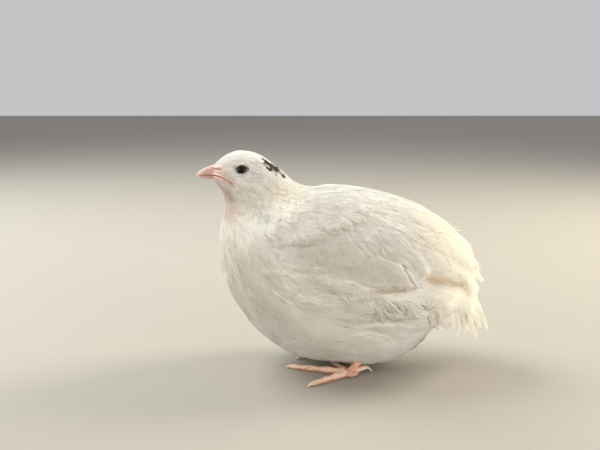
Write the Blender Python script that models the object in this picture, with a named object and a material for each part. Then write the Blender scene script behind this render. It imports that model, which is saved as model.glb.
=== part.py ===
# A life-size coturnix quail, crouched on both feet with its neck drawn in and its tail hanging.
# The bird faces -X and +Z is up, so its left side is -Y. The origin is on the floor, under the
# middle of the bird. Sizes below are in millimetres, and MM turns them into Blender's metres.

import math

import bmesh
import bpy
import numpy as np
from mathutils import Vector

MM = 0.001
GAP = 0.3  # clearance between neighbouring pieces
MIDDLE_X = 0.95  # x here is counted from under the breast and the origin is moved to the middle

# The body's cross-sections from bill to tail: the lowest point and the highest point of each
# (x, z), half its width, and how far up it is widest. Every section is a rounded oval that
# stands square to the bird's plane of symmetry.
SECTIONS = {
    "bill base": ((-74.0, 109.2), (-73.0, 118.3), 4.1, 0.50),
    "forehead": ((-71.0, 105.8), (-68.6, 122.2), 7.9, 0.50),
    "eyes": ((-68.2, 101.2), (-61.0, 125.7), 11.2, 0.50),
    "crown": ((-67.2, 96.6), (-50.0, 124.6), 12.9, 0.49),
    "nape": ((-67.7, 91.6), (-37.0, 116.3), 14.9, 0.48),
    "neck": ((-69.0, 86.0), (-26.5, 107.3), 19.0, 0.48),
    "shoulders": ((-70.3, 77.0), (-16.5, 104.6), 27.0, 0.47),
    "upper breast": ((-70.4, 67.0), (-7.5, 105.6), 34.5, 0.46),
    "breast": ((-68.0, 55.0), (4.0, 105.6), 40.0, 0.46),
    "wings": ((-62.8, 42.0), (17.3, 103.2), 43.8, 0.46),
    "fore belly": ((-52.4, 26.2), (30.5, 99.6), 45.4, 0.46),
    "belly": ((-34.4, 10.8), (43.6, 95.2), 44.6, 0.46),
    "legs": ((-8.0, 4.2), (56.4, 87.4), 41.4, 0.46),
    "hind belly": ((16.4, 3.6), (67.3, 78.2), 35.6, 0.46),
    "vent": ((38.4, 12.6), (75.6, 66.8), 28.0, 0.46),
    "tail root": ((51.6, 22.8), (81.2, 50.2), 20.0, 0.48),
    "tail coverts": ((61.0, 22.2), (78.6, 37.4), 16.0, 0.50),
    "tail feathers": ((72.0, 16.4), (80.3, 27.4), 12.4, 0.50),
    "tail tip": ((82.2, 15.2), (85.9, 18.8), 8.2, 0.50),
}
OVAL_POWER = 2.05  # 2 is an ellipse, and more is fuller at the corners
NECK_CUT, BREAST_CUT, TAIL_CUT = 3.7, 6.0, 15.1  # where the nodes part, in sections from the bill

BILL_TIP = (-84.0, 111.1)
BILL_MOUTH = (-73.6, 111.8)  # where the mouth line meets the face
BILL_HUMP = 0.5  # how far the mouth line bows up between them
BILL_HALF_WIDTH = 3.7
BILL_FACE_SLANT = 0.11  # how far the face leans back for each millimetre up
BILL_UPPER_HEIGHT, BILL_UPPER_TAPER = 6.7, 0.72
BILL_LOWER_HEIGHT, BILL_LOWER_TAPER = 2.6, 0.55
BILL_LOWER_REACH = 0.84  # the lower half's length as a share of the upper half's
BILL_BLUNT = 0.02  # how much of its thickness is left at the very tip

EYE_CENTRE = (-57.0, 8.0, 115.8)
EYE_RADIUS = 4.6

# The folded wing's outline on the flank, round from the wrist along its top.
WING_OUTLINE = (
    (-40.0, 77.0),
    (-31.0, 88.0),
    (-12.0, 93.5),
    (14.0, 92.0),
    (34.0, 81.0),
    (48.5, 66.0),
    (51.0, 56.5),
    (40.0, 53.5),
    (14.0, 57.5),
    (-14.0, 63.0),
    (-33.0, 68.0),
)
WING_DEEP = 3.0  # how far the wing lies in the body
WING_PROUD = 2.2  # how far its lower edge stands out; towards its top it fades into the back
WING_EDGE_AT_0, WING_EDGE_SLOPE = 61.0, -0.233  # the height of the lower edge along the bird
WING_HEIGHT = 36.0
WING_SLAB = (6.0, 60.0)  # how near and how far from the bird's middle the outline is cut
WING_GUIDE = (5.0, 16.0)  # the sections that the wing lies between
WING_FRONT, WING_LEAD = -43.0, 22.0  # the breast's feathers cover the wing's first few millimetres

# Each leg: the middle of its foot's pad (x, y), and the turn of its toes towards the midline.
FEET = {"left": ((4.0, -24.0), 0.0), "right": ((8.0, 21.5), 8.0)}
PAD_RADIUS, PAD_THICK = 5.1, 4.4
SHANK_BACK, SHANK_RISE, SHANK_IN = 19.0, 20.0, 6.0  # from the pad to the heel
# The shank's radius at shares of its length from the pad to the heel.
SHANK_SHAPE = {0.02: 2.4, 0.2: 1.9, 0.45: 1.9, 0.7: 2.2, 0.85: 3.0, 0.95: 2.6, 1.0: 1.2}
# Toes: turn from straight ahead towards the midline (degrees), length from the pad's middle,
# radius at the root, and how high the toe's end is lifted.
TOES = {
    "inner": (66.0, 20.0, 1.85, 0.0),
    "middle": (19.5, 34.0, 2.1, 0.0),
    "outer": (-38.0, 26.0, 2.05, 0.0),
    "hind": (158.0, 9.5, 1.6, 2.6),
}
TOE_TAPER = 0.3
TOE_SWELL, TOE_SWELLS = 0.06, 3  # the joints' swellings
CLAW_LENGTH, CLAW_TIP = 5.6, 0.16
CLAW_ROOT = 0.78  # how thick a claw starts, as a share of its toe's end
SOLE = 0.35  # how much of a toe's round underside is flattened on the floor

COLOURS = {
    "plumage": ((0.86, 0.84, 0.78), 0.8),
    "bill": ((0.80, 0.56, 0.50), 0.45),
    "eye": ((0.015, 0.010, 0.008), 0.08),
    "leg": ((0.78, 0.40, 0.27), 0.5),
    "claw": ((0.72, 0.60, 0.52), 0.4),
}


def clear_scene():
    for item in list(bpy.data.objects):
        bpy.data.objects.remove(item)


def material(name):
    found = bpy.data.materials.get(name)
    if found:
        return found
    made = bpy.data.materials.new(name)
    made.use_nodes = True
    shader = made.node_tree.nodes["Principled BSDF"]
    colour, roughness = COLOURS[name]
    shader.inputs["Base Color"].default_value = (*colour, 1.0)
    shader.inputs["Roughness"].default_value = roughness
    shader.inputs["Metallic"].default_value = 0.0
    return made


def new_object(name, mesh_data, finish):
    """An object of this bmesh, in millimetres, with its faces pointing out."""
    bmesh.ops.recalc_face_normals(mesh_data, faces=mesh_data.faces)
    bmesh.ops.translate(mesh_data, vec=(-MIDDLE_X, 0, 0), verts=mesh_data.verts)
    bmesh.ops.scale(mesh_data, vec=(MM, MM, MM), verts=mesh_data.verts)
    mesh = bpy.data.meshes.new(name)
    mesh_data.to_mesh(mesh)
    mesh_data.free()
    mesh.shade_smooth()
    mesh.set_sharp_from_angle(angle=math.radians(50))
    made = bpy.data.objects.new(name, mesh)
    made.data.materials.append(material(finish))
    bpy.context.scene.collection.objects.link(made)
    return made


def helper(made):
    """Keeps an object as a cutter or a guide only."""
    made.hide_render = True
    made.display_type = "WIRE"
    return made


def boolean(target, cutter, operation):
    modifier = target.modifiers.new(f"{operation.lower()} {cutter.name}", "BOOLEAN")
    modifier.operation = operation
    modifier.object = cutter
    modifier.solver = "EXACT"


def loft(rings):
    """A closed bmesh through these rings of points, each ring a list of the same length."""
    made = bmesh.new()
    loops = [[made.verts.new(point) for point in ring] for ring in rings]
    sides = len(loops[0])
    for near, far in zip(loops, loops[1:]):
        for i in range(sides):
            j = (i + 1) % sides
            made.faces.new((near[i], near[j], far[j], far[i]))
    made.faces.new(loops[0][::-1])
    made.faces.new(loops[-1])
    return made


# ---------------------------------------------------------------- the body, from bill to tail


def body_curves():
    """Numbers of each section: low x and z, high x and z, half width and where it is widest.
    With them come the places of the sections along the bird."""
    rows = np.array([(*low, *high, half, widest) for low, high, half, widest in SECTIONS.values()])
    middles = (rows[:, :2] + rows[:, 2:4]) / 2
    steps = np.linalg.norm(np.diff(middles, axis=0), axis=1)
    return rows, np.concatenate([[0.0], np.cumsum(steps)])


ROWS, PLACES = body_curves()
SLOPES = np.gradient(ROWS, PLACES, axis=0)


def section_at(s):
    """The section's numbers at s, counted in sections from the bill, on one smooth curve."""
    i = min(int(s), len(ROWS) - 2)
    t = s - i
    span = PLACES[i + 1] - PLACES[i]
    smooth = t * t * (3 - 2 * t)
    leave = t * (1 - t) ** 2 * span
    arrive = t * t * (t - 1) * span
    return ROWS[i] * (1 - smooth) + ROWS[i + 1] * smooth + SLOPES[i] * leave + SLOPES[i + 1] * arrive


def signed_power(value):
    return math.copysign(abs(value) ** (2 / OVAL_POWER), value)


def body_ring(s, sides, shift=0.0):
    """The ring of points of the section at s, moved by shift along the body."""
    low_x, low_z, high_x, high_z, half, widest = section_at(s)
    low, high = Vector((low_x, 0, low_z)), Vector((high_x, 0, high_z))
    along = (high - low).normalized()
    onward = Vector((along.z, 0, -along.x)) * shift
    sag = math.log(widest) / math.log(0.5)
    ring = []
    for k in range(sides):
        angle = 2 * math.pi * k / sides
        share = 0.5 + 0.5 * signed_power(math.cos(angle))
        point = low.lerp(high, share ** sag) + onward
        point.y = half * signed_power(math.sin(angle))
        ring.append(point)
    return ring


def body_length(start, end, count, sides, front_gap=0.0, back_gap=0.0):
    """A closed length of the body, from section start to section end."""
    rings = [body_ring(s, sides) for s in np.linspace(start, end, count)]
    rings[0] = body_ring(start, sides, front_gap)
    rings[-1] = body_ring(end, sides, -back_gap)
    return loft(rings)


def build_body():
    head = new_object("head", body_length(0, NECK_CUT, 12, 28, back_gap=GAP / 2), "plumage")
    neck_rings = body_length(NECK_CUT, BREAST_CUT, 7, 32, front_gap=GAP / 2, back_gap=GAP / 2)
    new_object("neck", neck_rings, "plumage")
    trunk_rings = body_length(BREAST_CUT, TAIL_CUT, 24, 36, front_gap=GAP / 2, back_gap=GAP / 2)
    trunk = new_object("trunk", trunk_rings, "plumage")
    tail_rings = body_length(TAIL_CUT, len(SECTIONS) - 1, 9, 28, front_gap=GAP / 2)
    new_object("tail", tail_rings, "plumage")
    return head, trunk


# ------------------------------------------------------------------------------- the wings


def smooth_outline(points, steps):
    """A closed smooth curve through the points, with this many steps between two of them."""
    around = np.array(points, float)
    before, after, beyond = (np.roll(around, turn, axis=0) for turn in (1, -1, -2))
    curve = []
    for k in range(len(around)):
        for t in np.arange(steps) / steps:
            slope_1 = (after[k] - before[k]) / 2
            slope_2 = (beyond[k] - around[k]) / 2
            smooth = t * t * (3 - 2 * t)
            point = around[k] * (1 - smooth) + after[k] * smooth
            curve.append(point + slope_1 * t * (1 - t) ** 2 + slope_2 * t * t * (t - 1))
    return np.array(curve)


def wing_prism(side, grown):
    """The wing's outline as a slab beside the bird, from its middle outwards, grown by a margin."""
    outline = smooth_outline(WING_OUTLINE, 3)
    tangent = np.roll(outline, -1, axis=0) - np.roll(outline, 1, axis=0)
    normal = np.stack([-tangent[:, 1], tangent[:, 0]], 1)
    normal /= np.linalg.norm(normal, axis=1)[:, None]
    outline = outline + normal * grown
    near, far = WING_SLAB[0] * side, WING_SLAB[1] * side
    return loft([[(x, y, z) for x, z in outline] for y in (near, far)])


def limited(value):
    return min(max(value, 0.0), 1.0)


def wing_bulge(point):
    """How far the wing stands out of the body here: most at its lower edge, and less further up."""
    edge = WING_EDGE_AT_0 + WING_EDGE_SLOPE * point.x
    up = limited((point.z - edge) / WING_HEIGHT)
    back = limited((point.x - WING_FRONT) / WING_LEAD)
    return WING_PROUD * (1 - up) ** 0.7 * math.sqrt(back)


def body_guide(name, distance_at):
    """A closed copy of the trunk's outside, each point moved out by distance_at of that point."""
    made = body_length(*WING_GUIDE, 30, 36)
    bmesh.ops.recalc_face_normals(made, faces=made.faces)
    moves = [(vertex, vertex.normal * distance_at(vertex.co)) for vertex in made.verts]
    for vertex, move in moves:
        vertex.co += move
    return helper(new_object(name, made, "plumage"))


def build_wings(trunk):
    outer = body_guide("wing outer guide", wing_bulge)
    inner = body_guide("wing inner guide", lambda point: -WING_DEEP)
    deeper = body_guide("wing pocket guide", lambda point: -WING_DEEP - GAP)
    for name, side in (("left", -1), ("right", 1)):
        wing = new_object(f"wing_{name}", wing_prism(side, 0.0), "plumage")
        boolean(wing, outer, "INTERSECT")
        boolean(wing, inner, "DIFFERENCE")
        pocket = helper(new_object(f"wing pocket {name}", wing_prism(side, GAP), "plumage"))
        boolean(pocket, deeper, "DIFFERENCE")
        boolean(trunk, pocket, "DIFFERENCE")


# ------------------------------------------------------------------------------- the head


def build_bill():
    """Both halves of the bill, each a tapering half round that meets the other at the mouth line."""
    base, tip = (Vector((x, 0, z)) for x, z in (BILL_MOUTH, BILL_TIP))
    halves = {
        "bill_upper": (1.0, BILL_UPPER_HEIGHT, BILL_UPPER_TAPER, 1.0),
        "bill_lower": (-1.0, BILL_LOWER_HEIGHT, BILL_LOWER_TAPER, BILL_LOWER_REACH),
    }
    rings_along, sides = 9, 13
    for name, (way, height, power, reach) in halves.items():
        rings = []
        for k in range(rings_along):
            t = k / (rings_along - 1)
            taper = max(1 - t, BILL_BLUNT) ** power
            narrow = math.sqrt(max(1 - t, BILL_BLUNT))
            middle = base.lerp(tip, t * reach)
            middle.z += way * GAP / 2 + BILL_HUMP * math.sin(math.pi * t * reach)
            ring = []
            for i in range(sides):
                angle = math.pi * i / (sides - 1)
                up = way * math.sin(angle) * height * taper
                lean = (BILL_FACE_SLANT * up - GAP) * (1 - t)
                ring.append((middle.x + lean, math.cos(angle) * BILL_HALF_WIDTH * narrow, middle.z + up))
            rings.append(ring)
        new_object(name, loft(rings), "bill")


def ball(name, centre, radius, finish):
    made = bmesh.new()
    bmesh.ops.create_uvsphere(made, u_segments=18, v_segments=11, radius=radius)
    bmesh.ops.translate(made, vec=centre, verts=made.verts)
    return new_object(name, made, finish)


def build_eyes(head):
    for name, side in (("left", -1), ("right", 1)):
        centre = (EYE_CENTRE[0], side * EYE_CENTRE[1], EYE_CENTRE[2])
        ball(f"eye_{name}", centre, EYE_RADIUS, "eye")
        socket = ball(f"socket {name}", centre, EYE_RADIUS + GAP, "eye")
        boolean(head, helper(socket), "DIFFERENCE")


# ------------------------------------------------------------------------------- the legs


def tube(path, radii, sides, floor=None):
    """A closed tube along a path. What would lie lower than floor is flattened onto it."""
    rings = []
    for k, (middle, radius) in enumerate(zip(path, radii)):
        onward = (path[min(k + 1, len(path) - 1)] - path[max(k - 1, 0)]).normalized()
        across = onward.cross(Vector((0, 0, 1))).normalized()
        upward = across.cross(onward)
        ring = []
        for i in range(sides):
            angle = 2 * math.pi * (i + 0.5) / sides
            point = middle + across * (math.cos(angle) * radius) + upward * (math.sin(angle) * radius)
            if floor is not None:
                point.z = max(point.z, floor)
            ring.append(point)
        rings.append(ring)
    return loft(rings)


def toe_path(start, heading, length, radius, lift):
    """Points and radii of a toe on the floor, its joints a little swollen and its end lifted."""
    path, radii = [], []
    rings = 8
    for k in range(rings):
        t = k / (rings - 1)
        swell = 1 + TOE_SWELL * math.cos(t * TOE_SWELLS * 2 * math.pi)
        thick = radius * (1 - TOE_TAPER * t) * swell
        height = thick - SOLE + lift * math.sin(t * math.pi / 2)
        path.append(Vector((*(start + heading * (length * t)), height)))
        radii.append(thick)
    return path, radii


def build_claw(name, root, heading, radius):
    """A claw that carries on from its toe, bends down and ends on the floor."""
    path, radii = [], []
    rings = 6
    for k in range(rings):
        t = k / (rings - 1)
        onward = heading * (CLAW_LENGTH * t)
        height = root.z * (1 - t * t) + CLAW_TIP * t * t
        path.append(Vector((root.x + onward.x, root.y + onward.y, height)))
        radii.append(CLAW_ROOT * radius * (1 - t) ** 0.75 + CLAW_TIP)
    new_object(name, tube(path, radii, 8, floor=0.0), "claw")


def build_shank(name, side, pad_middle, grown):
    """A foot's pad and the shank that leans back from it, grown by a margin."""
    pad_centre = Vector((*pad_middle, PAD_THICK / 2 - SOLE))
    pad = bmesh.new()
    bmesh.ops.create_uvsphere(pad, u_segments=18, v_segments=10, radius=1.0)
    flat = (PAD_RADIUS + grown, PAD_RADIUS + grown, PAD_THICK / 2 + grown)
    bmesh.ops.scale(pad, vec=flat, verts=pad.verts)
    bmesh.ops.translate(pad, vec=pad_centre, verts=pad.verts)
    for vertex in pad.verts:
        vertex.co.z = max(vertex.co.z, -grown)
    heel = pad_centre + Vector((SHANK_BACK, -side * SHANK_IN, SHANK_RISE))
    path = [pad_centre.lerp(heel, t) for t in SHANK_SHAPE]
    radii = [radius + grown for radius in SHANK_SHAPE.values()]
    shank = new_object(name, tube(path, radii, 12), "leg")
    boolean(shank, helper(new_object(f"pad {name}", pad, "leg")), "UNION")
    return shank


def build_leg(side_name, side, trunk):
    pad_middle, turn = FEET[side_name]
    build_shank(f"shank_{side_name}", side, pad_middle, 0.0)
    room = helper(build_shank(f"shank room {side_name}", side, pad_middle, GAP))
    boolean(trunk, room, "DIFFERENCE")
    inside = PAD_RADIUS * 0.55  # a toe starts inside the pad's rim, and the pad's room trims it
    for toe, (angle, length, radius, lift) in TOES.items():
        inward = math.radians(angle + turn)
        heading = Vector((-math.cos(inward), -side * math.sin(inward)))
        start = Vector(pad_middle) + heading * inside
        path, radii = toe_path(start, heading, length - inside, radius, lift)
        made = new_object(f"toe_{side_name}_{toe}", tube(path, radii, 10, floor=0.0), "leg")
        boolean(made, room, "DIFFERENCE")
        root = path[-1] + Vector((*heading, 0)) * GAP
        build_claw(f"claw_{side_name}_{toe}", root, heading, radii[-1])


clear_scene()
head_object, trunk_object = build_body()
build_wings(trunk_object)
build_bill()
build_eyes(head_object)
for leg_name, leg_side in (("left", -1), ("right", 1)):
    build_leg(leg_name, leg_side, trunk_object)
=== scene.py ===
# White coturnix quail, crouched and still. The bird faces -X, its left side is -Y and +Z is up.
# All sizes are in millimetres until a mesh is made.
import math

import bpy
import numpy as np
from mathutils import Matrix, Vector, kdtree


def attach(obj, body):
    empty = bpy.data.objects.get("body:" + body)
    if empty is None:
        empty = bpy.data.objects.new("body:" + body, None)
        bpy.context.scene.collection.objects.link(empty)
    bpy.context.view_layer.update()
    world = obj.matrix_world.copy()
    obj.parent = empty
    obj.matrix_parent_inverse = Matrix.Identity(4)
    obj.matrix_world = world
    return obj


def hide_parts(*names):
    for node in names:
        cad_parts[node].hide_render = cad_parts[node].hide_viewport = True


mm = 0.001
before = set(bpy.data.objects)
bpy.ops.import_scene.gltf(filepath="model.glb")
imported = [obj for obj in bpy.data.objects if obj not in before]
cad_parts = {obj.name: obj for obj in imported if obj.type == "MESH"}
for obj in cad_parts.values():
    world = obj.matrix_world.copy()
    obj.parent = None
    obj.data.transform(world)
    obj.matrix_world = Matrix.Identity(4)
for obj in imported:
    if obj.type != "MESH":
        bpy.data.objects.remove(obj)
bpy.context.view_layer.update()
bpy.ops.object.select_all(action="DESELECT")
print("frame loaded:", len(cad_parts), "nodes")

# The outer form of the plumage.

# Sections from bill to tail: lowest x and z, highest x and z, half width, and the share where it is widest.
bodySections = {
    "bill base": (-74.95, 109.2, -73.95, 118.3, 4.1, 0.50),
    "forehead": (-71.95, 105.8, -69.55, 122.2, 7.9, 0.50),
    "eyes": (-69.15, 101.2, -61.95, 125.7, 11.2, 0.50),
    "crown": (-68.15, 96.6, -50.95, 124.6, 12.9, 0.49),
    "nape": (-68.65, 91.6, -37.95, 116.3, 14.9, 0.48),
    "neck": (-69.95, 86.0, -27.45, 107.3, 19.0, 0.48),
    "shoulders": (-71.25, 77.0, -17.45, 104.6, 27.0, 0.47),
    "upper breast": (-71.35, 67.0, -8.45, 105.6, 34.5, 0.46),
    "breast": (-68.95, 55.0, 3.05, 105.6, 40.0, 0.46),
    "wings": (-63.75, 42.0, 16.35, 103.2, 43.8, 0.46),
    "fore belly": (-53.35, 26.2, 29.55, 99.6, 45.4, 0.46),
    "belly": (-35.35, 10.8, 42.65, 95.2, 44.6, 0.46),
    "legs": (-8.95, 4.2, 55.45, 87.4, 41.4, 0.46),
    "hind belly": (15.45, 3.6, 66.35, 78.2, 35.6, 0.46),
    "vent": (37.45, 12.6, 74.65, 66.8, 28.0, 0.46),
    "tail root": (51.0, 27.0, 76.4, 50.6, 20.0, 0.48),
    "tail coverts": (60.3, 26.0, 76.6, 38.0, 15.5, 0.50),
    "tail feathers": (70.0, 22.5, 78.2, 29.0, 11.5, 0.50),
    "tail tip": (79.5, 19.0, 82.5, 22.0, 7.0, 0.50),
}
form = {
    "ovalPower": 2.05,
    "rows": 433,
    "columns": 320,
    "swell": 0.45,  # how far the plumage heaves in and out
    "swellSize": 15.0,
}

# Folds and ridges of the plumage on both flanks, along lines of x and z: how far out, and how wide.
folds = {
    "neck fold": ([(-47.0, 93.0), (-41.5, 89.7), (-36.0, 87.3), (-32.1, 85.3)], -0.5, 2.6),
    "neck crease": ([(-36.0, 88.5), (-34.2, 84.2), (-32.6, 80.3), (-30.5, 76.0)], -0.8, 2.6),
    "breast edge": ([(-40.0, 88.0), (-38.2, 82.5), (-36.5, 77.0), (-34.5, 72.0)], 0.7, 2.6),
    "scapular edge": ([(-36.7, 80.7), (-22.4, 81.6), (-11.9, 84.7), (6.9, 91.6)], 0.5, 2.4),
    "under the scapulars": ([(-36.7, 76.7), (-22.4, 77.8), (-11.9, 80.9), (6.9, 87.8)], -0.5, 2.2),
    "flank ridge": ([(-34.0, 70.2), (-25.1, 67.8), (-15.6, 66.3), (-3.9, 64.0), (8.0, 58.5)], 1.3, 2.6),
    "flank fold": ([(-8.0, 58.5), (4.3, 53.0), (14.0, 49.0), (30.0, 42.5)], 0.8, 3.0),
    "belly fold": ([(-6.0, 44.5), (12.7, 40.0), (29.8, 31.6), (44.0, 24.5)], -0.8, 3.0),
    "tail crease": ([(40.0, 59.5), (51.8, 56.5), (61.0, 52.5), (72.3, 48.0)], -2.2, 3.0),
}

rows = np.array(list(bodySections.values()))
middles = (rows[:, :2] + rows[:, 2:4]) / 2
places = np.concatenate([[0.0], np.cumsum(np.linalg.norm(np.diff(middles, axis=0), axis=1))])
slopes = np.gradient(rows, places, axis=0)
lastSection = len(rows) - 1.0


def sectionAt(s):
    # the section's numbers at s, counted in sections from the bill
    i = np.minimum(s.astype(int), len(rows) - 2)
    t = (s - i)[..., None]
    span = (places[i + 1] - places[i])[..., None]
    smooth = t * t * (3 - 2 * t)
    ends = rows[i] * (1 - smooth) + rows[i + 1] * smooth
    return ends + (slopes[i] * t * (1 - t) ** 2 + slopes[i + 1] * t * t * (t - 1)) * span


def ovalAt(s, a):
    # points of the outer form; a is the turn round the body from the back, below zero on the bird's left
    numbers = sectionAt(np.clip(s, 0.0, lastSection))
    lowX, lowZ, highX, highZ, half, widest = np.moveaxis(numbers, -1, 0)
    power = 2 / form["ovalPower"]
    up = 0.5 + 0.5 * np.sign(np.cos(a)) * np.abs(np.cos(a)) ** power
    share = up ** (np.log(widest) / math.log(0.5))
    y = half * np.sign(np.sin(a)) * np.abs(np.sin(a)) ** power
    return np.stack([lowX + (highX - lowX) * share, y, lowZ + (highZ - lowZ) * share], -1)


def unit(vectors):
    return vectors / np.maximum(np.linalg.norm(vectors, axis=-1, keepdims=True), 1e-9)


cellPrimes = np.array([73856093, 19349663, 83492791])


def softNoise(points, size, seed):
    # smooth random values from -1 to 1 that change over this size
    cells = points / size + seed * 17.31
    base = np.floor(cells).astype(np.int64)
    part = cells - base
    part = part * part * (3 - 2 * part)
    total = np.zeros(points.shape[:-1])
    for corner in range(8):
        step = np.array([corner & 1, corner >> 1 & 1, corner >> 2 & 1])
        key = (base + step) * cellPrimes
        mixed = (key[..., 0] ^ key[..., 1] ^ key[..., 2]) * 2654435761 % 4294967296
        value = (mixed >> 7) % 65536 / 32767.5 - 1
        total += value * np.prod(np.where(step, part, 1 - part), axis=-1)
    return total


def smoothStep(value, start, end):
    t = np.clip((value - start) / (end - start), 0.0, 1.0)
    return t * t * (3 - 2 * t)


def bell(distance, width):
    # 1 in the middle, fading to both sides
    return np.exp(-(distance / width) ** 2)


def spot(x, z, middle, size):
    # 1 in the middle of an oval, fading all round
    return np.exp(-(((x - middle[0]) / size[0]) ** 2 + ((z - middle[1]) / size[1]) ** 2))


def lineDistance(x, z, line):
    # how far these places are from a line of (x, z) points, and how far along it, from 0 to 1
    best, along = np.full(x.shape, 1e9), np.zeros(x.shape)
    count = len(line) - 1
    for k, ((x0, z0), (x1, z1)) in enumerate(zip(line, line[1:])):
        dx, dz = x1 - x0, z1 - z0
        t = np.clip(((x - x0) * dx + (z - z0) * dz) / (dx * dx + dz * dz), 0, 1)
        distance = np.hypot(x - x0 - t * dx, z - z0 - t * dz)
        nearer = distance < best
        best = np.where(nearer, distance, best)
        along = np.where(nearer, (k + t) / count, along)
    return best, along


def nearLine(x, z, line, full, none):
    # 1 within the first distance of the line, 0 past the second
    return smoothStep(lineDistance(x, z, line)[0], none, full)


def softLine(points, line, width, margin, power):
    # 1 in the middle of the line, fading to its ends and to both sides
    distance, along = lineDistance(points[..., 0], points[..., 2], line)
    return np.sin(np.pi * np.clip(along, margin, 1 - margin)) ** power * bell(distance, width)


def foldsAt(points):
    total = np.zeros(points.shape[:-1])
    for line, height, width in folds.values():
        total += height * softLine(points, line, width, 0.04, 0.5)
    return total * smoothStep(np.abs(points[..., 1]), 12.0, 22.0)


def centralSlope(grid, axis, step, wrapped):
    if wrapped:
        return (np.roll(grid, -1, axis) - np.roll(grid, 1, axis)) / (2 * step)
    return np.gradient(grid, step, axis=axis)


sStep = lastSection / (form["rows"] - 1)
aStep = 2 * math.pi / form["columns"]
gridS, gridA = np.meshgrid(
    np.linspace(0.0, lastSection, form["rows"]),
    -math.pi + aStep * np.arange(form["columns"]),
    indexing="ij",
)


def outwardNormals(points):
    return unit(np.cross(centralSlope(points, 1, aStep, True), centralSlope(points, 0, sStep, False)))


outer = ovalAt(gridS, gridA)
for smoothing in range(3):
    outer = (np.roll(outer, 1, 1) + 2 * outer + np.roll(outer, -1, 1)) / 4
outerNormal = outwardNormals(outer)
turned = np.sign(np.sum((outer - outer.mean(1, keepdims=True)) * outerNormal))
outerNormal = outerNormal * turned
bodyOnly = smoothStep(gridS, 5.0, 7.0) * (1 - smoothStep(gridS, 15.0, 17.0))
heave = softNoise(outer, form["swellSize"], 3) + 0.5 * softNoise(outer, form["swellSize"] / 2, 4)
outer = outer + outerNormal * (foldsAt(outer) + form["swell"] * heave * bodyOnly)[..., None]
outerNormal = outwardNormals(outer) * turned
alongGrid = centralSlope(outer, 0, sStep, False)
roundGrid = centralSlope(outer, 1, aStep, True)


def lookUp(grid, s, a):
    # the grid's value at s and a, between its points
    u = np.clip(s / sStep, 0, form["rows"] - 1.0001)
    v = (a + math.pi) / aStep
    i, j = u.astype(int), np.floor(v).astype(int)
    fu, fv = u - i, v - j
    left, right = j % form["columns"], (j + 1) % form["columns"]
    if grid.ndim == 3:
        fu, fv = fu[..., None], fv[..., None]
    near = grid[i, left] * (1 - fv) + grid[i, right] * fv
    far = grid[i + 1, left] * (1 - fv) + grid[i + 1, right] * fv
    return near * (1 - fu) + far * fu


def placeAt(s, a):
    # a point of the outer form; past the tail's end it carries on straight
    over = np.maximum(s - lastSection, 0.0)[..., None]
    return lookUp(outer, s, a) + lookUp(alongGrid, s, a) * over


def turnSteps(s, a, move):
    # what to add to s and a so that a point of the form moves this way
    along, around = lookUp(alongGrid, s, a), lookUp(roundGrid, s, a)
    ee, ff, gg = (along * along).sum(-1), (along * around).sum(-1), (around * around).sum(-1)
    b1, b2 = (move * along).sum(-1), (move * around).sum(-1)
    spread = np.maximum(ee * gg - ff * ff, 1e-6)
    return (gg * b1 - ff * b2) / spread, (ee * b2 - ff * b1) / spread


def treeOf(points):
    tree = kdtree.KDTree(len(points))
    for k, point in enumerate(points):
        tree.insert(point, k)
    tree.balance()
    return tree


sides = {"left": -1, "right": 1}  # the sign of y
sideTrees = {}
for side in sides.values():
    facing = np.argwhere((outer[..., 1] * side > 4) & (outerNormal[..., 1] * side > 0.15))
    sideTrees[side] = (treeOf(outer[facing[:, 0], facing[:, 1]] * [1, 0, 1]), facing)


def findPlace(x, z, side):
    # s and a of the places on one side of the body that show at these x and z
    tree, facing = sideTrees[side]
    found = np.array([tree.find((px, 0.0, pz))[1] for px, pz in zip(x.ravel(), z.ravel())])
    s = (facing[found, 0] * sStep).reshape(x.shape)
    a = (facing[found, 1] * aStep - math.pi).reshape(x.shape)
    farthest = 0.1  # in one step
    for refining in range(3):
        here = placeAt(s, a)
        along, around = lookUp(alongGrid, s, a), lookUp(roundGrid, s, a)
        mx, mz = x - here[..., 0], z - here[..., 2]
        spread = along[..., 0] * around[..., 2] - along[..., 2] * around[..., 0]
        spread = np.where(np.abs(spread) < 5.0, 5.0 * np.sign(spread + 1e-9), spread)
        ds = (mx * around[..., 2] - mz * around[..., 0]) / spread
        da = (mz * along[..., 0] - mx * along[..., 2]) / spread
        s, a = s + np.clip(ds, -farthest, farthest), a + np.clip(da, -farthest, farthest)
    return s, a


print("outer form ready")

# Where the colours change, for the skin and the coat alike: markings, and painted light and shade.

eye = {
    "x": -57.95,
    "y": 8.0,
    "z": 115.8,
    "radius": 4.6,
    "openZ": 116.45,  # the middle of the opening between the lids, its half sizes and its slope
    "openLong": 3.05,
    "openHigh": 2.1,
    "tilt": 0.15,
    "corners": 1.75,  # the power of the opening's oval
}
gapeLine = [(-78.5, 112.6), (-76.4, 112.1), (-73.4, 112.1), (-70.6, 111.8), (-66.9, 110.3), (-63.0, 108.3)]
darkPatches = (  # on the hind crown, seen from above: a start and an end (x, y), and how wide
    ((-44.6, -4.8), (-42.2, -4.3), 1.6),
    ((-41.2, -4.0), (-38.4, -4.3), 2.4),
    ((-37.6, -4.5), (-34.6, -5.4), 1.5),
    ((-43.6, -7.9), (-41.0, -8.2), 0.75),
)


def eyeShare(points):
    # 1 on the rim of the eye's opening, less inside it
    x, z = points[..., 0] - eye["x"], points[..., 2] - eye["openZ"]
    across = np.abs(x * math.cos(eye["tilt"]) + z * math.sin(eye["tilt"])) / eye["openLong"]
    upward = np.abs(z * math.cos(eye["tilt"]) - x * math.sin(eye["tilt"])) / eye["openHigh"]
    return (across ** eye["corners"] + upward ** eye["corners"]) ** (1 / eye["corners"])


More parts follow.
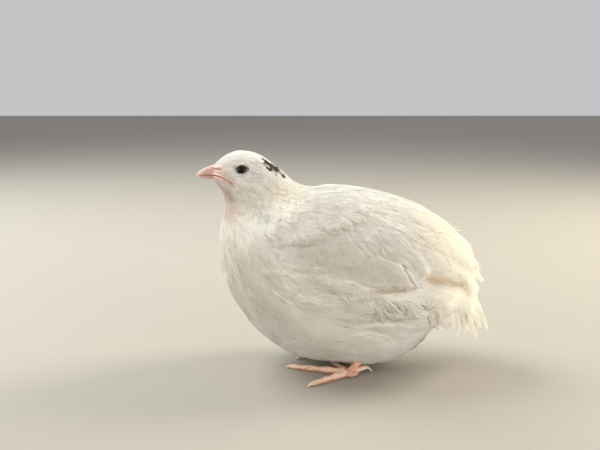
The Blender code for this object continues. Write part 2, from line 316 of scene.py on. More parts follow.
def rimAt(points):
    # 1 in the painted shade round the eye's opening, wider above it under the lid, and less in the painted
    # shade under the edges of feathers
    share = eyeShare(points)
    above = smoothStep(points[..., 2], eye["openZ"] - 1.0, eye["openZ"] + 1.5)
    near = (np.abs(points[..., 1]) > 6.0) & (points[..., 2] > 101.0)
    shadeHere = smoothStep(share, 1.45 + 0.55 * above, 1.05)
    return np.maximum(near * shadeHere, bodyShadesAt(points))


# Lines of painted shade on both sides, under feather edges, in folds and in bands: points (x, z), how wide
# and how strong.
bodyShades = (
    ([(-37.0, 77.7), (-30.0, 78.5), (-22.4, 78.8), (-12.0, 81.9), (-3.6, 85.5), (6.9, 88.8)], 1.2, 0.20),
    ([(1.3, 39.8), (10.5, 38.7), (18.2, 37.9)], 0.8, 0.20),
    ([(-26.2, 66.4), (-8.8, 64.8), (-0.5, 63.2), (5.0, 59.0), (11.7, 54.5)], 1.6, 0.16),
    ([(11.7, 55.0), (27.3, 54.2), (38.0, 55.2)], 1.2, 0.42),
    ([(46.0, 57.6), (54.0, 54.8), (62.0, 53.2)], 1.1, 0.40),
    ([(-63.0, 90.0), (-63.5, 72.0)], 9.0, 0.13),
    ([(34.0, 27.0), (46.0, 25.0)], 7.0, 0.14),
    ([(-26.0, 101.0), (4.0, 101.5)], 4.5, 0.11),
    ([(26.0, 36.0), (40.0, 36.0)], 7.0, 0.14),
    ([(20.8, 64.0), (25.1, 60.1), (27.9, 54.6)], 2.4, 0.13),
)
# Lines of painted highlight along the ridges of the plumage, in the same way.
paintedBodyHighlights = (
    [(-41.2, 70.0), (-31.5, 66.5), (-26.2, 63.6), (-8.8, 61.8), (-0.5, 60.0), (5.0, 55.5)],
    [(-39.8, 53.4), (-30.7, 50.0), (-21.6, 51.2), (-9.4, 48.4), (-0.3, 47.7)],
    [(3.1, 33.9), (16.2, 34.7), (27.7, 33.9), (35.5, 30.7)],
    [(9.0, 28.0), (20.7, 25.6), (27.1, 20.7)],
    [(-34.5, 58.4), (-26.9, 52.1)],
    [(-44.4, 67.7), (-39.8, 63.9)],
)


def bodyShadesAt(points):
    total = np.zeros(points.shape[:-1])
    for line, width, strength in bodyShades:
        total = np.maximum(total, strength * softLine(points, line, width, 0.06, 0.6))
    return total * smoothStep(np.abs(points[..., 1]), 7.0, 11.0) * (1 + 0.4 * softNoise(points, 2.0, 14))


def markAt(points):
    # 1 in the dark patch on the hind crown
    total = np.zeros(points.shape[:-1])
    ragged = 1 + 0.9 * softNoise(points * [0.6, 1, 1], 1.3, 11) + 0.5 * softNoise(points, 0.8, 12)
    longer = 1.25  # a patch ends sooner along x than across it
    for start, end, width in darkPatches:
        line = [(x * longer, y) for x, y in (start, end)]
        distance, _ = lineDistance(points[..., 0] * longer, points[..., 1], line)
        total = np.maximum(total, smoothStep(width * ragged - distance, -0.15, 0.15))
    return total * (points[..., 2] > 108.0)


# Lines of bare pink skin, and on the throat painted shade in pink: points (x, z), how far it is full, where
# it ends and how strong it is.
blushLines = (
    ([(-76.0, 115.0), (-71.5, 115.0), (-68.0, 112.0), (-64.0, 109.0)], 1.5, 6.0, 0.85),  # lores
    ([(-63.0, 108.3), (-57.5, 106.0), (-51.0, 104.5)], 0.3, 2.2, 0.4),  # behind the gape
    ([(-75.0, 110.0), (-71.0, 104.5), (-69.0, 99.0)], 2.0, 7.0, 0.85),  # chin
    # on the throat, partly painted shade under the head
    ([(-69.0, 101.0), (-66.0, 92.0)], 3.0, 9.0, 0.75),  # throat
)


def blushAt(points):
    # 1 on the bare pink skin at the bill, fading over the lores, the chin and the throat, where it is partly
    # painted shade under the head
    x, z = points[..., 0], points[..., 2]
    pink = [share * nearLine(x, z, line, full, none) for line, full, none, share in blushLines]
    return np.maximum.reduce(pink)


def creamAt(points):
    # 1 where the plumage is creamy yellow: the sides of the neck, the rump and the tail
    x, y, z = points[..., 0], points[..., 1], points[..., 2]
    neck = spot(x, z, (-33, 100), (13, 8)) * smoothStep(np.abs(y), 4, 9)
    rump = smoothStep(x + 0.25 * z, 52, 80) * 0.72
    tail = smoothStep(x, 44, 56) * smoothStep(z, 56, 48) * (0.03 + 0.4 * smoothStep(z - 0.4 * x, -6, 16))
    breast = 0.3 * smoothStep(x, -40, -58) * smoothStep(z, 104, 92)
    patchy = 1.05 + 0.3 * softNoise(points, 5.0, 21) + 0.3 * softNoise(points, 1.6, 23)
    return np.clip(np.maximum.reduce([0.75 * neck, rump, tail, breast]) * patchy, 0, 1)


# How much the plumage is painted lighter than halfway or, below zero, greyer: mostly painted light and
# painted shade, while the wing's greyer band is partly the quills' own tone. Bands say how much, and where it
# starts and is full in x and in z. Lines say how much, their points (x, z), how far it is full and where it
# ends. Spots say how much, their middle and their size.
anywhere = (-100, -99)
toneBands = {
    "head": (0.5, (-36, -48), (99, 108)),
    "low belly": (0.4, anywhere, (24, 10)),
    "breast": (-0.45, (-48, -60), (94, 84)),
    "forehead": (-0.3, (-60, -67), (114, 118)),
    "tail": (0.5, (50, 62), (64, 54)),
}
toneLines = {
    "flank ridge": (0.4, [(-32.0, 69.0), (-16.0, 67.0), (6.0, 60.0), (26.0, 51.0), (40.0, 50.0)], 0.5, 4.0),
    "wing": (-0.4, [(-22.0, 74.0), (0.0, 68.0), (26.0, 61.0)], 3.0, 9.0),
    "neck": (-0.6, [(-63.0, 101.0), (-56.0, 96.0), (-45.0, 92.0)], 1.0, 7.0),
    "rear flank": (-0.5, [(26.0, 36.0), (45.0, 31.0)], 6.0, 16.0),
}
toneSpots = {
    "side of the neck": (0.5, (-36, 99), (9, 7)),
    "shoulder": (-0.5, (-18, 99), (15, 7)),
}


def toneAt(points):
    # how light the plumage is painted, from 0 to 1: mostly painted light and painted shade
    x, z = points[..., 0], points[..., 2]
    total = 0.5
    for change, inX, inZ in toneBands.values():
        total = total + change * smoothStep(x, *inX) * smoothStep(z, *inZ)
    for change, line, full, none in toneLines.values():
        total = total + change * nearLine(x, z, line, full, none)
    for change, middle, size in toneSpots.values():
        total = total + change * spot(x, z, middle, size)
    onSide = smoothStep(np.abs(points[..., 1]), 10.0, 14.0)
    # painted highlights along the ridges of the plumage
    for line in paintedBodyHighlights:
        total = total + 0.5 * onSide * softLine(points, line, 1.1, 0.06, 0.6)
    return np.clip(total + 0.12 * softNoise(points, 6.0, 22), 0, 1)


def warmAt(points):
    # 1 in the orange-tinted painted shadow of the fold over the tail and under the wing's tip
    x, z = points[..., 0], points[..., 2]
    crease, along = lineDistance(x, z, [(45.5, 58.2), (55.0, 55.8), (66.0, 51.5), (73.0, 47.5)])
    overTail = (1.0 - 0.9 * along) * bell(crease, 1.9 + 2.2 * along)
    underWing = 0.5 * nearLine(x, z, [(16.0, 54.3), (27.0, 53.9), (38.0, 54.9)], 0.2, 2.4)
    onSide = smoothStep(np.abs(points[..., 1]), 5, 14)
    return onSide * np.maximum(overTail, underWing) * (1 + 0.5 * softNoise(points, 2.5, 24))


# Meshes and materials.


def meshFrom(name, points, corners, sizes):
    # a mesh object from points in millimetres, the faces' corners in a row and their sizes
    mesh = bpy.data.meshes.new(name)
    mesh.vertices.add(len(points))
    mesh.vertices.foreach_set("co", (points * mm).astype(np.float32).ravel())
    mesh.loops.add(len(corners))
    mesh.loops.foreach_set("vertex_index", corners.astype(np.int32))
    mesh.polygons.add(len(sizes))
    starts = np.concatenate([[0], np.cumsum(sizes)[:-1]])
    mesh.polygons.foreach_set("loop_start", starts.astype(np.int32))
    mesh.update(calc_edges=True)
    made = bpy.data.objects.new(name, mesh)
    bpy.context.scene.collection.objects.link(made)
    return made


def paint(made, name, values):
    # a number for each point of the mesh, which its material reads
    layer = made.data.attributes.new(name, "FLOAT", "POINT")
    layer.data.foreach_set("value", np.asarray(values, np.float32))


def paintZones(made, points):
    # the zones of colour, worked out at these points
    for zone in (markAt, creamAt, warmAt, blushAt, rimAt, toneAt):
        paint(made, zone.__name__.removesuffix("At"), zone(points))


class Wire:
    # a socket of a material's node; sums on it add Math nodes
    def __init__(self, tree, socket=None):
        self.tree = tree
        self.socket = socket

    def add(self, kind, settings, sockets, out=0):
        node = self.tree.nodes.new(kind)
        for name, value in settings.items():
            setattr(node, name, value)
        for key, value in sockets.items():
            if isinstance(value, Wire):
                self.tree.links.new(value.socket, node.inputs[key])
            elif isinstance(value, tuple) and node.inputs[key].type == "RGBA":
                node.inputs[key].default_value = (*value, 1.0)
            else:
                node.inputs[key].default_value = value
        return Wire(self.tree, node.outputs[out])

    def sum(self, operation, first, second):
        return self.add("ShaderNodeMath", {"operation": operation}, {0: first, 1: second})

    def size(self):
        return self.sum("ABSOLUTE", self, 0.0)

    def vector(self, operation, sockets, out=0):
        return self.add("ShaderNodeVectorMath", {"operation": operation}, sockets, out)

    def between(self, low, high):
        # 0 at low and 1 at high, smoothly
        sockets = {"Value": self, "From Min": low, "From Max": high}
        return self.add("ShaderNodeMapRange", {"interpolation_type": "SMOOTHSTEP"}, sockets)

    def blend(self, first, second):
        # the first colour where this is 0 and the second where it is 1
        return self.add("ShaderNodeMix", {"data_type": "RGBA"}, {0: self, 6: first, 7: second}, 2)

    def tinted(self, tint):
        # this colour times another
        settings = {"data_type": "RGBA", "blend_type": "MULTIPLY"}
        return self.add("ShaderNodeMix", settings, {0: 1.0, 6: self, 7: tint}, 2)

    def attribute(self, name):
        return self.add("ShaderNodeAttribute", {"attribute_name": name}, {}, 2)

    def noise(self, scale, detail=2.0, vector=None, out=0):
        sockets = {"Vector": vector or self.place(), "Scale": scale, "Detail": detail}
        return self.add("ShaderNodeTexNoise", {}, sockets, out)

    def place(self):
        # the object's own coordinates
        return self.add("ShaderNodeTexCoord", {}, {}, 3)

    def axis(self, number):
        return self.add("ShaderNodeSeparateXYZ", {}, {0: self.place()}, number)

    def nearLines(self, place, lines):
        # more than 0 on lines through points (x, z) in millimetres, each with its width and its strength
        total = None
        for points, width, strength in lines:
            for (x, z), (endX, endZ) in zip(points, points[1:]):
                wayX, wayZ = endX - x, endZ - z
                reach = wayX ** 2 + wayZ ** 2
                along = self.vector("DOT_PRODUCT", {0: place, 1: (wayX / reach, 0.0, wayZ / reach)}, 1)
                sockets = {0: along, 1: (x * wayX + z * wayZ) / reach}
                along = self.add("ShaderNodeMath", {"operation": "SUBTRACT", "use_clamp": True}, sockets)
                scaled = self.vector("SCALE", {0: (wayX, 0.0, wayZ), 3: along})
                nearest = self.vector("ADD", {0: scaled, 1: (x, 0.0, z)})
                distance = self.vector("DISTANCE", {0: place, 1: nearest}, 1)
                sockets = {"Value": distance, "From Max": width, "To Min": strength, "To Max": 0.0}
                shade = self.add("ShaderNodeMapRange", {"interpolation_type": "SMOOTHSTEP"}, sockets)
                total = shade if total is None else self.sum("MAXIMUM", total, shade)
        return total

    def bump(self, distance):
        # the surface's relief, with this as its height
        return self.add("ShaderNodeBump", {}, {"Height": self, "Distance": distance, "Strength": 0.5})


def mathWith(operation, turned):
    # the Math node that a sign in a sum stands for
    return lambda self, other: self.sum(operation, *((other, self) if turned else (self, other)))


for sign, operation in (("add", "ADD"), ("sub", "SUBTRACT"), ("mul", "MULTIPLY")):
    setattr(Wire, f"__{sign}__", mathWith(operation, False))
    setattr(Wire, f"__r{sign}__", mathWith(operation, True))


def newMaterial(name, fixed):
    # a material with one Principled shader, and the wire that its sums start from
    made = bpy.data.materials.new(name)
    made.use_nodes = True
    shader = made.node_tree.nodes["Principled BSDF"]
    for key, value in fixed.items():
        shader.inputs[key].default_value = value
    return made, Wire(made.node_tree), shader


def wear(made, material):
    made.data.materials.clear()
    made.data.materials.append(material)


def connect(shader, **links):
    for key, wire in links.items():
        socket = shader.inputs[key.replace("_", " ")]
        wire.tree.links.new(wire.socket, socket)


whole = (1.0, 1.0, 1.0)  # leaves a colour as it is
plumageLook = {
    "white": (0.93, 0.92, 0.88),
    "shade": (0.875, 0.86, 0.815),
    # what painted shade darkens the plumage to, also the wing's partly own greyer tone
    "shadeAndGrey": (0.79, 0.775, 0.755),
    "cream": (0.92, 0.85, 0.68),
    # the orange tint of painted shadow in the fold over the tail
    "warm": (0.66, 0.45, 0.235),
    "blush": (0.76, 0.60, 0.53),
    # the pink darkened as painted shade
    "blushShade": (0.60, 0.44, 0.37),
    # painted shade, round the eye, between barbs, in folds and under the edges of feathers
    "rim": (0.30, 0.265, 0.235),
    # painted highlight along fine lines, and the pale specks of the neck
    "light": (1.0, 0.985, 0.93),
    # painted highlight: the lightest painted places go whiter
    "paintedHighlightWhite": (0.97, 0.97, 0.965),
    "speck": (0.72, 0.62, 0.46),
    "dark": (0.006, 0.004, 0.003),
    "darkBrown": (0.032, 0.018, 0.010),
    "strand": (0.66, 0.64, 0.60),  # what the darkest strands are tinted with
}
# Fine lines of painted shade on both sides, behind the eye, between barbs, along the edges of feathers and
# in creases: points (x, z), width and strength.
fineShades = (
    ([(-50.6, 120.2), (-47.6, 119.2), (-45.0, 118.0)], 0.75, 0.30),
    ([(-52.4, 119.0), (-49.4, 118.0), (-46.0, 116.6)], 0.75, 0.34),
    ([(-53.0, 117.5), (-50.0, 116.3), (-46.4, 115.0)], 0.75, 0.34),
    ([(-53.2, 116.0), (-50.2, 114.5), (-46.4, 113.6)], 0.75, 0.34),
    ([(-52.6, 114.6), (-49.6, 113.3), (-46.6, 112.9)], 0.75, 0.36),
    ([(-52.2, 113.1), (-49.1, 112.4), (-46.0, 112.6)], 0.75, 0.36),
    ([(-52.0, 111.6), (-48.9, 111.2), (-46.0, 111.9)], 0.75, 0.32),
    ([(-51.9, 109.9), (-48.6, 109.6), (-45.6, 110.5)], 0.75, 0.28),
    ([(-61.7, 112.9), (-58.3, 112.4), (-54.8, 113.3), (-53.4, 115.3)], 0.7, 0.30),
    ([(-60.6, 108.0), (-57.1, 105.7), (-52.5, 104.8), (-49.0, 103.0)], 0.8, 0.32),
    ([(-58.8, 109.2), (-55.4, 107.2), (-51.0, 106.4)], 0.7, 0.28),
    ([(3.9, 81.1), (11.6, 72.7)], 0.9, 0.36),
    ([(7.7, 81.5), (16.9, 72.3)], 0.9, 0.36),
    ([(14.5, 83.2), (23.0, 73.6)], 0.8, 0.34),
    ([(23.8, 82.9), (31.5, 76.7)], 0.8, 0.28),
    ([(33.2, 74.9), (38.6, 70.3)], 0.9, 0.36),
    ([(30.4, 68.0), (32.8, 62.9), (37.2, 56.2)], 1.1, 0.70),
    ([(15.1, 48.8), (19.6, 46.6), (24.4, 42.0)], 1.0, 0.42),
    ([(19.7, 49.6), (24.0, 46.2), (27.7, 41.0)], 0.9, 0.36),
    ([(25.1, 48.0), (29.0, 45.0), (32.4, 40.4)], 1.0, 0.42),
    ([(42.8, 43.0), (45.8, 44.6), (48.1, 47.2)], 0.9, 0.24),
    ([(45.6, 42.0), (48.8, 43.2), (51.0, 45.6)], 0.9, 0.22),
    ([(-44.4, 83.5), (-42.4, 82.5), (-40.4, 80.3)], 0.9, 0.42),
    ([(-40.3, 84.6), (-38.0, 83.7), (-35.5, 81.6)], 0.9, 0.42),
    ([(-42.6, 81.0), (-40.4, 79.6), (-38.9, 77.6)], 0.8, 0.30),
    ([(-36.7, 77.7), (-30.0, 78.7), (-22.4, 78.8), (-16.4, 80.0)], 1.3, 0.24),
    ([(18.1, 53.9), (27.3, 53.7), (38.0, 54.7)], 1.0, 0.34),
    ([(-4.5, 38.5), (6.3, 37.4), (19.4, 36.5)], 1.3, 0.22),
    ([(-33.0, 63.0), (-29.2, 59.9), (-24.6, 55.1)], 0.9, 0.34),
    ([(-37.7, 51.4), (-32.3, 47.2)], 0.8, 0.3),
    ([(-16.2, 57.1), (-12.3, 54.7), (-6.2, 53.2)], 0.9, 0.2),
    ([(-9.3, 57.1), (-3.1, 54.7), (3.0, 53.2)], 0.9, 0.2),
    ([(6.9, 50.4), (12.3, 49.4), (19.2, 51.0)], 1.4, 0.22),
    ([(20.5, 38.6), (26.7, 37.0), (33.7, 37.8), (40.2, 36.6)], 1.3, 0.26),
    ([(12.1, 95.2), (16.7, 94.4), (21.3, 91.8)], 0.8, 0.22),
    ([(24.2, 87.4), (29.6, 85.0), (35.1, 79.6)], 0.9, 0.26),
    ([(-4.6, 98.0), (1.5, 98.7), (7.7, 97.3)], 0.8, 0.2),
    ([(35.5, 73.4), (40.1, 70.6), (43.3, 67.1)], 0.7, 0.2),
    ([(45.5, 86.6), (49.4, 82.7), (51.1, 78.8)], 0.8, 0.2),
)
# Fine lines of painted highlight, in the same way: on the tertials' edges, on barbs and on ridges of the
# plumage.
finePaintedHighlights = (
    ([(28.8, 68.2), (31.2, 62.8), (35.8, 56.4)], 1.2, 0.9),
    ([(33.4, 73.6), (40.4, 70.3), (44.6, 64.4), (42.6, 59.9), (38.8, 56.6)], 1.2, 0.8),
    ([(1.9, 82.1), (9.6, 73.7)], 1.0, 0.5),
    ([(10.6, 83.5), (19.6, 74.0)], 1.0, 0.5),
    ([(17.0, 83.4), (25.2, 74.6)], 1.0, 0.5),
    ([(12.4, 49.0), (21.0, 42.8)], 1.2, 0.6),
    ([(22.0, 49.4), (29.6, 41.6)], 1.0, 0.6),
    ([(-42.2, 65.7), (-30.7, 63.8), (-21.5, 63.8), (-10.8, 61.8), (1.4, 60.1), (10.7, 55.5)], 2.2, 0.8),
    ([(-39.2, 54.0), (-34.6, 50.4), (-30.8, 48.3), (-26.1, 49.2), (-20.0, 49.4), (-13.8, 47.6), (-6.1, 46.7)],
     1.2, 0.75),
    ([(-34.5, 63.6), (-30.7, 60.5), (-25.8, 56.2)], 0.9, 0.8),
    ([(-52.6, 53.6), (-49.2, 50.0), (-44.6, 45.2)], 0.9, 0.5),
    ([(-13.9, 53.2), (-4.6, 51.6), (5.4, 50.0), (16.2, 46.0)], 1.3, 0.55),
    ([(1.7, 34.1), (12.5, 34.7), (28.0, 34.3), (37.3, 31.9)], 1.8, 0.7),
    ([(3.3, 28.9), (14.1, 30.1), (22.7, 26.9), (28.2, 22.0)], 1.5, 0.6),
    ([(-6.0, 26.0), (4.8, 28.5)], 0.9, 0.4),
    ([(-38.5, 30.1), (-36.2, 26.0), (-33.1, 21.6)], 1.0, 0.4),
    ([(22.4, 41.3), (31.7, 38.9), (40.2, 38.3)], 1.0, 0.6),
    ([(12.1, 93.6), (18.2, 92.3), (23.6, 89.3)], 1.2, 0.6),
    ([(23.5, 85.8), (28.9, 83.5), (34.4, 78.0)], 1.2, 0.6),
)


def plumageColour(wire):
    # the coat's colour, from what is painted on its points, fine lines and fine noise, with painted light and
    # shade
    look = plumageLook
    mottled = wire.noise(95.0, 3.0)
    base = mottled.between(0.35, 0.68).blend(look["shade"], look["white"])
    # painted light and shade by the tone
    toned = wire.attribute("tone").blend(look["shadeAndGrey"], whole)
    base = base.tinted(toned)
    # painted highlight: where the tone is highest the colour goes whiter still
    base = (wire.attribute("tone").between(0.75, 1.0) * 0.7).blend(base, look["paintedHighlightWhite"])
    fine = wire.noise(600.0, 2.0)
    cream = wire.attribute("cream") * (0.75 + 0.5 * fine)
    base = cream.blend(base, look["cream"])
    specks = wire.noise(430.0, 1.0)
    onNeck = cream * wire.axis(2).between(0.084, 0.090) * wire.axis(0).between(-0.010, -0.018)
    base = (onNeck * specks.between(0.52, 0.64) * 0.85).blend(base, look["light"])
    base = (onNeck * specks.between(0.48, 0.38) * 0.75).blend(base, look["speck"])
    # orange-tinted painted shadow in the fold over the tail and under the wing's tip
    base = (wire.attribute("warm") * (0.7 + 0.4 * mottled)).blend(base, look["warm"])
    # the pink is darker where the tone is painted shade
    blush = wire.attribute("tone").blend(look["blushShade"], look["blush"])
    base = (wire.attribute("blush") * (0.65 + 0.5 * fine)).blend(base, blush)
    # painted shade round the eye, in folds and under the edges of feathers
    base = (wire.attribute("rim") * 0.8).blend(base, look["rim"])
    astray = {0: wire.noise(260.0, 2.5, out=1), 1: (3.0, 0.0, 3.0), 2: (-1.5, 0.0, -1.5)}  # up to 1.5 mm
    wander = wire.vector("MULTIPLY_ADD", astray)
    place = wire.vector("MULTIPLY_ADD", {0: wire.place(), 1: (1 / mm, 0.0, 1 / mm), 2: wander})
    aside = wire.axis(1).size().between(0.005, 0.008)
    uneven = aside * (0.55 + 0.9 * wire.noise(240.0, 2.0))
    # painted highlights and painted shade along fine lines
    base = (uneven * wire.nearLines(place, finePaintedHighlights)).blend(base, look["light"])
    base = (uneven * wire.nearLines(place, fineShades)).blend(base, look["rim"])
    dark = fine.between(0.35, 0.75).blend(look["dark"], look["darkBrown"])
    return wire.attribute("mark").blend(base, dark)


coatFixed = {
    "Roughness": 0.62,
    "Specular IOR Level": 0.22,
    "Subsurface Weight": 0.35,
    "Subsurface Scale": 0.0012,
    "Subsurface Radius": (1.0, 0.85, 0.62),
}
coatMaterial, wire, shader = newMaterial("silky plumage", coatFixed)
colour = plumageColour(wire)
# the strands' tint: random tone, with the painted light and shade of streaks, tufts, barbs and edges
tone = 0.78 + 0.36 * wire.attribute("tint")
colour = colour.tinted(tone.blend(plumageLook["strand"], whole))
connect(shader, Base_Color=colour, Roughness=0.55 + 0.15 * wire.noise(900.0))

# Feathers.

# A feather is one unit long. Its strands, so many on each side, leave the shaft between start and stop
# and end on its outline. The outline begins at first, is half as wide as width says, and rounds off from
# shoulder on. Strand and core are the half widths of a strand and of the shaft, and each has so many
# rings before its tip. The strands gather into clumps, as much as clump says, end as unevenly as ragged
# says and bend as much as bow says.
featherColumns = (
    "strands", "rings", "width", "shoulder", "start", "stop", "first", "strand", "clumps", "clump",
    "ragged", "bow", "core",
)
featherSizes = {
    "face": (4, 2, 0.3, 0.35, 0.0, 0.4, 0.5, 0.06, 1, 0.1, 0.08, 0.03, 0.06),
    "head": (6, 2, 0.26, 0.4, 0.02, 0.5, 0.5, 0.042, 2, 0.15, 0.08, 0.03, 0.045),
    "neck": (7, 2, 0.2, 0.4, 0.04, 0.6, 0.45, 0.03, 3, 0.5, 0.13, 0.05, 0.026),
    "body": (10, 2, 0.155, 0.42, 0.06, 0.7, 0.44, 0.0185, 4, 0.45, 0.08, 0.05, 0.018),
    "silky": (10, 2, 0.155, 0.4, 0.06, 0.62, 0.46, 0.019, 4, 0.55, 0.11, 0.04, 0.018),
    "downy": (10, 2, 0.2, 0.45, 0.08, 0.72, 0.46, 0.023, 5, 0.45, 0.07, 0.07, 0.02),
    "hairy": (11, 3, 0.135, 0.45, 0.04, 0.6, 0.5, 0.015, 4, 0.65, 0.11, 0.05, 0.012),
    "plume": (20, 3, 0.15, 0.62, 0.12, 0.88, 0.36, 0.014, 7, 0.45, 0.05, 0.08, 0.012),
    "covert": (20, 3, 0.25, 0.62, 0.12, 0.9, 0.34, 0.024, 3, 0.08, 0.008, 0.04, 0.016),
    "shoulder": (17, 2, 0.18, 0.45, 0.08, 0.8, 0.34, 0.017, 5, 0.35, 0.05, 0.04, 0.015),
    "quill": (40, 3, 0.125, 0.8, 0.1, 0.95, 0.22, 0.0135, 4, 0.05, 0.004, 0.05, 0.009),
    "tail": (30, 2, 0.085, 0.55, 0.02, 0.74, 0.3, 0.0095, 3, 0.1, 0.004, 0.015, 0.012),
    "wisp": (16, 3, 0.1, 0.5, 0.02, 0.62, 0.4, 0.0115, 4, 0.5, 0.06, 0.05, 0.013),
}
# What some styles have besides: how much the strands' shades differ, in groups of three as painted light and
# shade between barbs, how high their ridge is, where their last ring lies and how wide it is there, how much
# lighter the edge is painted as a painted highlight, and whether the feather is pointed.
featherExtras = {
    "covert": {"grouped": 0.7, "ridge": 0.12, "full": 0.88, "end": 0.8, "edge": 0.1},
    "quill": {"grouped": 0.3, "ridge": 0.07, "full": 0.93, "end": 0.95, "edge": 0.8},
    "tail": {"pointed": True, "ridge": 0.15, "grouped": 0.5},
    "wisp": {"pointed": True},
}
featherStyles = {
    name: dict(zip(featherColumns, sizes), **featherExtras.get(name, {}))
    for name, sizes in featherSizes.items()
}
strandRidge = 0.24  # a strand's height over its half width, where its style has no other
patchSize = 0.0015  # half of a strand's patch on the bake's map


def makeTemplate(style, rng):
    # one feather along x: its points, their strand, ring and patch, and the faces
    width, shoulder, first = style["width"], style["shoulder"], style["first"]
    x = np.linspace(first, 1.0, 120)
    rounding = np.clip((x - shoulder) / (1 - shoulder), 0, 1)
    roundEnd = (1 - rounding) ** 0.75 if style.get("pointed") else np.sqrt(1 - rounding ** 2)
    edge = width * roundEnd * (0.6 + 0.4 * smoothStep(x, first * 0.5, shoulder))
    run = np.concatenate([[0.0], np.cumsum(np.hypot(np.diff(x), np.diff(edge)))])
    count = style["strands"]
    ends, bases, turn, shades = [], [], [], []
    for side in (-1, 1):
        q = (np.arange(count) + 0.5 + rng.uniform(-0.25, 0.25, count)) / count
        endX, endY = np.interp(q * run[-1], run, x), np.interp(q * run[-1], run, edge)
        group = np.floor(q * style["clumps"])
        middle = np.clip((group + 0.5) / style["clumps"], 0, 1) * run[-1]
        endX += (np.interp(middle, run, x) - endX) * style["clump"] * 0.6
        endY += (np.interp(middle, run, edge) - endY) * style["clump"]
        endX += rng.normal(0, style["ragged"], count)
        endY = endY * (1 + rng.normal(0, style["ragged"] * 1.5, count))
        baseX = style["start"] + (style["stop"] - style["start"]) * q ** 1.1
        ends.append(np.stack([np.minimum(endX, 1.03), side * endY], 1))
        bases.append(np.stack([baseX, np.full(count, -0.8 * side * style["strand"])], 1))
        shades.append(style.get("grouped", 1.0) * rng.uniform(-1, 1, count)[np.arange(count) // 3])
        turn.append(np.full(count, side))
    ends.append(np.array([[1.0, 0.0]]))
    bases.append(np.array([[0.0, 0.0]]))
    turn.append(np.array([0]))
    shades.append(np.array([0.4]))
    ends, bases, turn = np.concatenate(ends), np.concatenate(bases), np.concatenate(turn)
    strands = len(ends)
    rings = style["rings"]
    shares, widths = [0.0, 0.5, 1.0], [1.0, 1.0, 0.0]
    if rings == 3:
        shares = [0.0, 0.38, style.get("full", 0.74), 1.0]
        widths = [1.0, 1.0, style.get("end", 0.75), 0.0]
    way = ends - bases
    reach = np.linalg.norm(way, axis=1, keepdims=True)
    across = np.stack([-way[:, 1], way[:, 0]], 1) / reach
    bow = turn[:, None] * style["bow"] * reach * across
    half = np.full(strands, style["strand"]) * rng.uniform(0.85, 1.15, strands)
    half[-1] = style["core"]
    points, ring, patch = [], [], []
    for k, share in enumerate(shares):
        middle = bases + way * share + bow * 4 * share * (1 - share)
        height = half * (0.15 + 0.3 * (1 - share))
        if k == rings:
            points.append(np.column_stack([middle, height * 0.3])[:, None])
            patch.append(np.tile([[0.0, 1.0]], (strands, 1))[:, None])
            ring.append(np.full((strands, 1), share))
            continue
        spread = (half * widths[k])[:, None] * across
        corners = []
        for turnAside, lift in ((1, 0.0), (0, 1.0), (-1, 0.0)):
            top = height + lift * style.get("ridge", strandRidge) * half
            corners.append(np.column_stack([middle + spread * turnAside, top]))
        points.append(np.stack(corners, 1))
        level = 2 * share - 1
        patch.append(np.tile([[1.0, level], [0.0, level - 0.12], [-1.0, level]], (strands, 1, 1)))
        ring.append(np.full((strands, 3), share))
    points = np.concatenate(points, 1)
    size = points.shape[1]
    owner = np.repeat(np.arange(strands), size)
    faces = []
    for k in range(rings - 1):
        a, b = 3 * k, 3 * k + 3
        faces += [(a, a + 1, b + 1, b), (a + 1, a + 2, b + 2, b + 1), (a + 2, a, b, b + 2)]
    a, tip = 3 * (rings - 1), 3 * rings
    faces += [(a, a + 1, tip), (a + 1, a + 2, tip), (a + 2, a, tip), (0, 2, 1)]
    flat = np.concatenate([np.array(face) for face in faces])
    corners = (flat[None, :] + size * np.arange(strands)[:, None]).ravel()
    return {
        "points": points.reshape(-1, 3),
        "owner": owner,
        "ring": np.concatenate(ring, 1).ravel(),
        "patch": np.concatenate(patch, 1).reshape(-1, 2),
        "corners": corners,
        "sizes": np.tile([len(face) for face in faces], strands),
        "bases": bases[:, 0],
        "shades": np.concatenate(shades),
        "edge": style.get("edge", 0.0),
        "strands": strands,
    }


templateRng = np.random.default_rng(20)
variants = 5  # of each style, so that no two neighbours look alike
templates = {
    name: [makeTemplate(style, templateRng) for variant in range(variants)]
    for name, style in featherStyles.items()
}


def layTracks(s, a, lengths, heading, waving=1.0, steps=6):
    # lines of s and a that run over the body from these roots, with the lie of the feathers
    tracksS, tracksA = [s], [a]
    for k in range(steps):
        along, normal = unit(lookUp(alongGrid, s, a)), lookUp(outerNormal, s, a)
        here = placeAt(s, a)
        waver = waving * (0.16 * softNoise(here, 11.0, 31) + 0.12 * softNoise(here, 5.0, 32))
        angle = (heading + waver)[:, None]
        downward = np.tanh(4 * np.sin(a))[:, None] * np.cross(normal, along)
        way = along * np.cos(angle) + downward * np.sin(angle)
        ds, da = turnSteps(s, a, way * (lengths / steps)[:, None])
        s, a = s + np.clip(ds, -0.6, 0.6), a + np.clip(da, -0.4, 0.4)
        tracksS.append(s)
        tracksA.append(a)
    return np.stack(tracksS, 1), np.stack(tracksA, 1)


def riseFrom(depth, lift, steps, power=3.2):
    # heights over the outer form along each feather, from its root in the skin to its tip
    t = np.linspace(0, 1, steps + 1)[None]
    return -depth[:, None] * (1 - t) ** power + lift[:, None] * t ** 1.5


